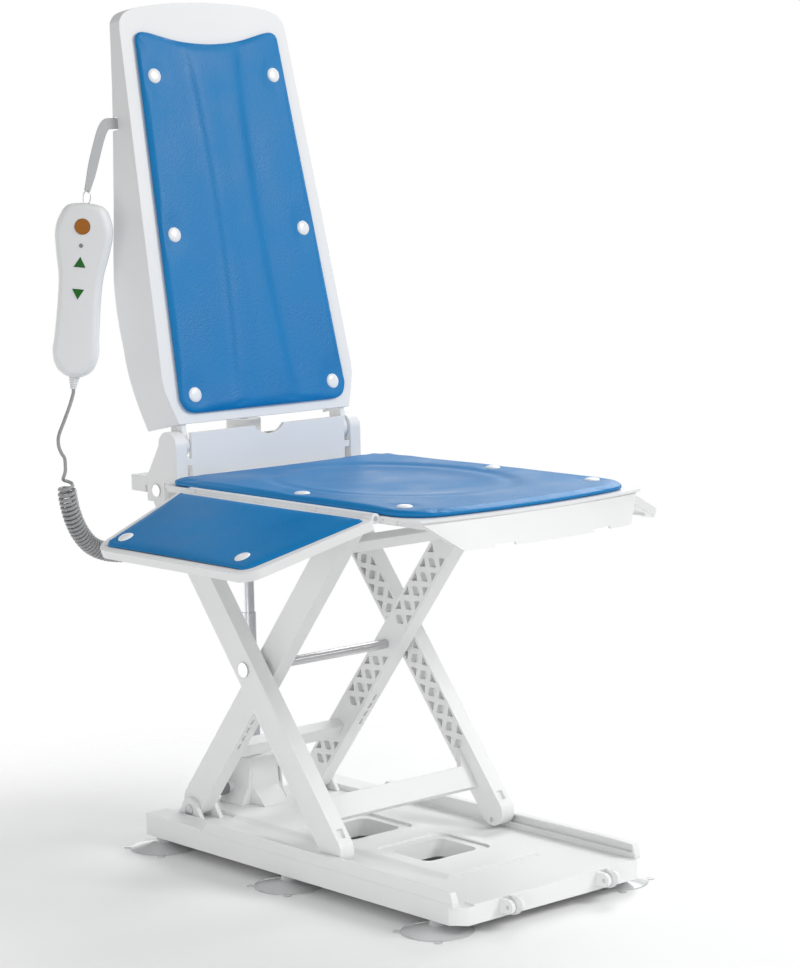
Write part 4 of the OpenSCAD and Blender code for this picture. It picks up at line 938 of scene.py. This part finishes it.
# %% Six cups on their places
CUP_X, CUP_ROWS = 141, (-256.5, 7.5, 256.5)
RIGHT_TURN, LEFT_MORE = math.radians(139), math.radians(100)
cup_tree, gin, gout = new_tree("suction_cups", {"Cup": "Object"})
source = add(cup_tree, "GeometryNodeObjectInfo")
here, split = add(cup_tree, "GeometryNodeInputPosition"), add(cup_tree, "ShaderNodeSeparateXYZ")
spin = add(cup_tree, "ShaderNodeCombineXYZ")
wire(cup_tree, (gin, "Cup", source, "Object"), (here, "Position", split, "Vector"))
left = number(cup_tree, "GREATER_THAN", split.outputs["X"], 0.0)
turn = number(cup_tree, "ADD", number(cup_tree, "MULTIPLY", left, LEFT_MORE), RIGHT_TURN)
cup_tree.links.new(turn, spin.inputs["Z"])
plant(cup_tree, gin, gout, source.outputs["Geometry"], spin.outputs["Vector"])

cup_places = [mm(side * CUP_X, y, 0) for side in SIDES_OF for y in CUP_ROWS]
suction_cups = grown("suction_cups", cup_tree, cup_places, "cup_rubber", Cup=one_cup)
bpy.data.objects.remove(one_cup)
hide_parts(*[n for n in NODES if n.startswith("cup_")])
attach(suction_cups, "base")
print("cups:", len(suction_cups.data.polygons), "faces")

# %% [markdown]
# The handset is a smooth hollow pebble, wider at its head than at its tail. Its outline
# is the one in the source, and it is lofted in layers whose inset follows a rounded
# curve, so that the sides roll into the face like a soap bar. The pockets that the
# buttons travel in are cut out with a Boolean, and a ribbed boot guards the cord.

# %% Handset shell
HAND_T, HEAD_R, TAIL_R = 30.0, 35.0, 28.0
HAND_FRAME = (Matrix.Translation(mm(*HAND_AT)) @ Matrix.Rotation(HAND_TURN, 4, "Z")
              @ Matrix.Rotation(HAND_TILT, 4, "Y"))


def on_hand(x, depth, z):
    """A point of the handset: across, depth from its middle with the face at minus, along."""
    return HAND_FRAME @ (Vector((x, depth, z)) / 1000)


def hand_outline(inset):
    h, e = HAND_LEN / 2, inset
    half = smooth_path([Vector((x, z, 0)) for x, z in (
        (0, h - e), (22 - e / 2, h - 4 - e), (HEAD_R - 3 - e, h - 20 - e), (HEAD_R - e, h - 38),
        (HEAD_R - 3 - e, h - 62), (27 - e, h - 90), (26 - e, 20 - h * 0.35), (TAIL_R - 1 - e, 50 - h),
        (TAIL_R - e, 28 - h), (TAIL_R - 6 - e, 10 - h + e), (10 - e / 2, 1 - h + e), (0, e - h))], 5)
    return half + [Vector((-p.x, p.y, 0)) for p in half[-2:0:-1]]


LAYERS, ROLL_IN = 20, 8.5                        # ROLL_IN is how far the sides roll in, in mm
rows = []
for k in range(LAYERS + 1):
    angle = math.pi * (k / LAYERS - 0.5)
    depth = HAND_T / 2 * math.copysign(abs(math.sin(angle)) ** 0.8, angle)
    inset = ROLL_IN * (1 - abs(math.cos(angle)) ** 0.8)
    rows += [on_hand(p.x, depth, p.y) for p in hand_outline(inset)]
hand_count = len(hand_outline(0))
handset = new_piece("handset_shell", rows, loft_faces(LAYERS + 1, hand_count))


def prism(name, outline, front, back):
    """A straight cutter or key from an outline of the face, between two depths."""
    points = [on_hand(x, depth, z) for depth in (front, back) for x, z in outline]
    return new_piece(name, points, loft_faces(2, len(outline)), smooth=False)


def arrow(z, way, radius):
    low = z - way * radius / 2
    return [(0, z + way * radius), (-0.87 * radius, low), (0.87 * radius, low)]


STOP_Z, UP_Z, DOWN_Z, LED_Z = 78.0, 33.0, -2.0, 55.0
STOP_R, ARROW_R, POCKET_DEEP = 9.8, 8.5, 7
pockets = {"stop": [(x, STOP_Z + z) for x, z in ring(STOP_R, 48)],
           "up": arrow(UP_Z, 1, ARROW_R), "down": arrow(DOWN_Z, -1, ARROW_R)}
for label, outline in pockets.items():
    cutter = prism(label + "_pocket", outline, -HAND_T / 2 - 2, -HAND_T / 2 + POCKET_DEEP)
    cut = handset.modifiers.new(label, "BOOLEAN")
    cut.operation, cut.solver, cut.object = "DIFFERENCE", "EXACT", cutter
    baked(handset)
    bpy.data.objects.remove(cutter)
shade(handset.data, sharp=42)
dress(handset, FINISH["white_plastic"])
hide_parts("handset_case")
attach(handset, "backrest")
print("handset:", len(handset.data.polygons), "faces")

# %% [markdown]
# Small things on the handset: the boot with its five ribs, a grey lamp under the stop
# button, a thin pale seam where its two halves meet, and the three buttons themselves,
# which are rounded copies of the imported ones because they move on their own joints.


# %% Boot, lamp, seam and buttons
def along_hand(name, profile, count, origin, tilt=None):
    """A lathed piece on the handset: its axis is the handset's, or its face with tilt."""
    vertices, faces = lathe(profile, count)
    frame_at = HAND_FRAME @ Matrix.Translation(Vector(origin) / 1000)
    if tilt is not None:
        frame_at = frame_at @ Matrix.Rotation(tilt, 4, "X")
    piece = new_piece(name, [frame_at @ v for v in vertices], faces)
    piece.data.set_sharp_from_angle(angle=math.radians(50))
    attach(piece, "backrest")
    return piece


BOOT_RIBS = 5
boot_profile = [(0.01, 0.0), (2.9, 0.0), (3.3, 0.4)]
for k in range(BOOT_RIBS):
    z, r = k * 3.0, 3.4 + k * 0.6
    boot_profile += [(r, z + 0.6), (r + 0.85, z + 0.9), (r + 1.0, z + 1.4), (r + 0.85, z + 1.9),
                     (r, z + 2.3)]
boot_profile += [(6.2, 15.6), (6.6, 18), (0.01, 18)]
boot = along_hand("cord_boot", boot_profile, 40, (0, 0, boot_end))
dress(boot, FINISH["white_plastic"])
lamp_profile = [(0.01, 1.0), (1.2, 0.9), (2.1, 0.6), (2.6, 0.1), (2.6, -1.5), (0.01, -1.5)]
lamp_lens = along_hand("power_lamp", lamp_profile, 36, (0, -HAND_T / 2, LED_Z),
                       tilt=math.radians(90))
dress(lamp_lens, FINISH["grey_plastic"])

seam_line = hand_outline(-0.12)
seam_rows = [on_hand(p.x * (1 + out / 400), depth, p.y * (1 + out / 900))
             for depth, out in ((1.2, -1.5), (1.2, 0), (0.4, 0.9), (-0.4, 0.9), (-1.2, 0), (-1.2, -1.5))
             for p in seam_line]
seam = new_piece("handset_seam", seam_rows, loft_faces(6, hand_count, closed=True))
dress(seam, FINISH["light_grey_plastic"])
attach(seam, "backrest")
for name in ("stop_button", "up_button", "down_button"):
    eased(name, 0.5, segments=3)
print("boot, lamp, seam and three buttons")

# %% [markdown]
# A short webbing strap carries the handset from the notch in the side of the backrest.
# It narrows to a thin wire loop on top of the handset. Webbing is flat and thin, so it
# is lofted directly: a lens-shaped section is carried along its route.

# %% Strap and wire loop
strap_points = [Vector(p) for p in (
    (-138, 306.9, 905), (-148, 306.9, 905), (-157, 306.4, 904), (-167, 303, 894), (-181, 297, 868),
    (-195, 289, 842))] + [hand_line(HAND_LEN / 2 + 14)]
strap_path = smooth_path(strap_points, 8)
strap_ref = Vector((0, math.cos(LEAN), -math.sin(LEAN)))
SECTION, HALF_W, HALF_T = 16, 7.0, 0.8           # points round the strap; half sizes in mm
strap_rows = []
for i, point in enumerate(strap_path):
    ahead = heading(strap_path, i)
    across = strap_ref.cross(ahead).normalized()
    out = ahead.cross(across)
    width = HALF_W - 2.6 * ease((i / (len(strap_path) - 1) - 0.72) / 0.28)
    for k in range(SECTION):
        t = 2 * math.pi * k / SECTION
        a = width * math.copysign(abs(math.cos(t)) ** 0.45, math.cos(t))
        b = HALF_T * math.copysign(abs(math.sin(t)) ** 0.8, math.sin(t))
        strap_rows.append(mm(*(point + across * a + out * b)))
strap = new_piece("carry_strap", strap_rows, loft_faces(len(strap_path), SECTION))
strap.data.set_sharp_from_angle(angle=math.radians(60))
dress(strap, FINISH["grey_strap"])
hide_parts("handset_strap")
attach(strap, "backrest")

WIRE_R, WIRE_SIDES, WIRE_STEPS = 0.0008, 8, 24
loop = []
for k in range(WIRE_STEPS):
    t = 2 * math.pi * k / WIRE_STEPS
    loop.append(on_hand(4.6 * math.sin(t), 0, HAND_LEN / 2 + 6.2 - 8.4 * math.cos(t)))
strap_wire = new_piece("strap_wire", tube_rows(loop, ring(WIRE_R, WIRE_SIDES), (0, 1, 0)),
                       loft_faces(WIRE_STEPS, WIRE_SIDES, closed=True))
dress(strap_wire, FINISH["pin_metal"])
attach(strap_wire, "backrest")
print("strap:", len(strap.data.polygons), "faces")

# %% [markdown]
# Last, the view layer is brought up to date. Rigid pieces stay inside the box of the
# plain model, and only soft ones may stand a little proud.

# %% Bring the scene up to date
bpy.context.view_layer.update()
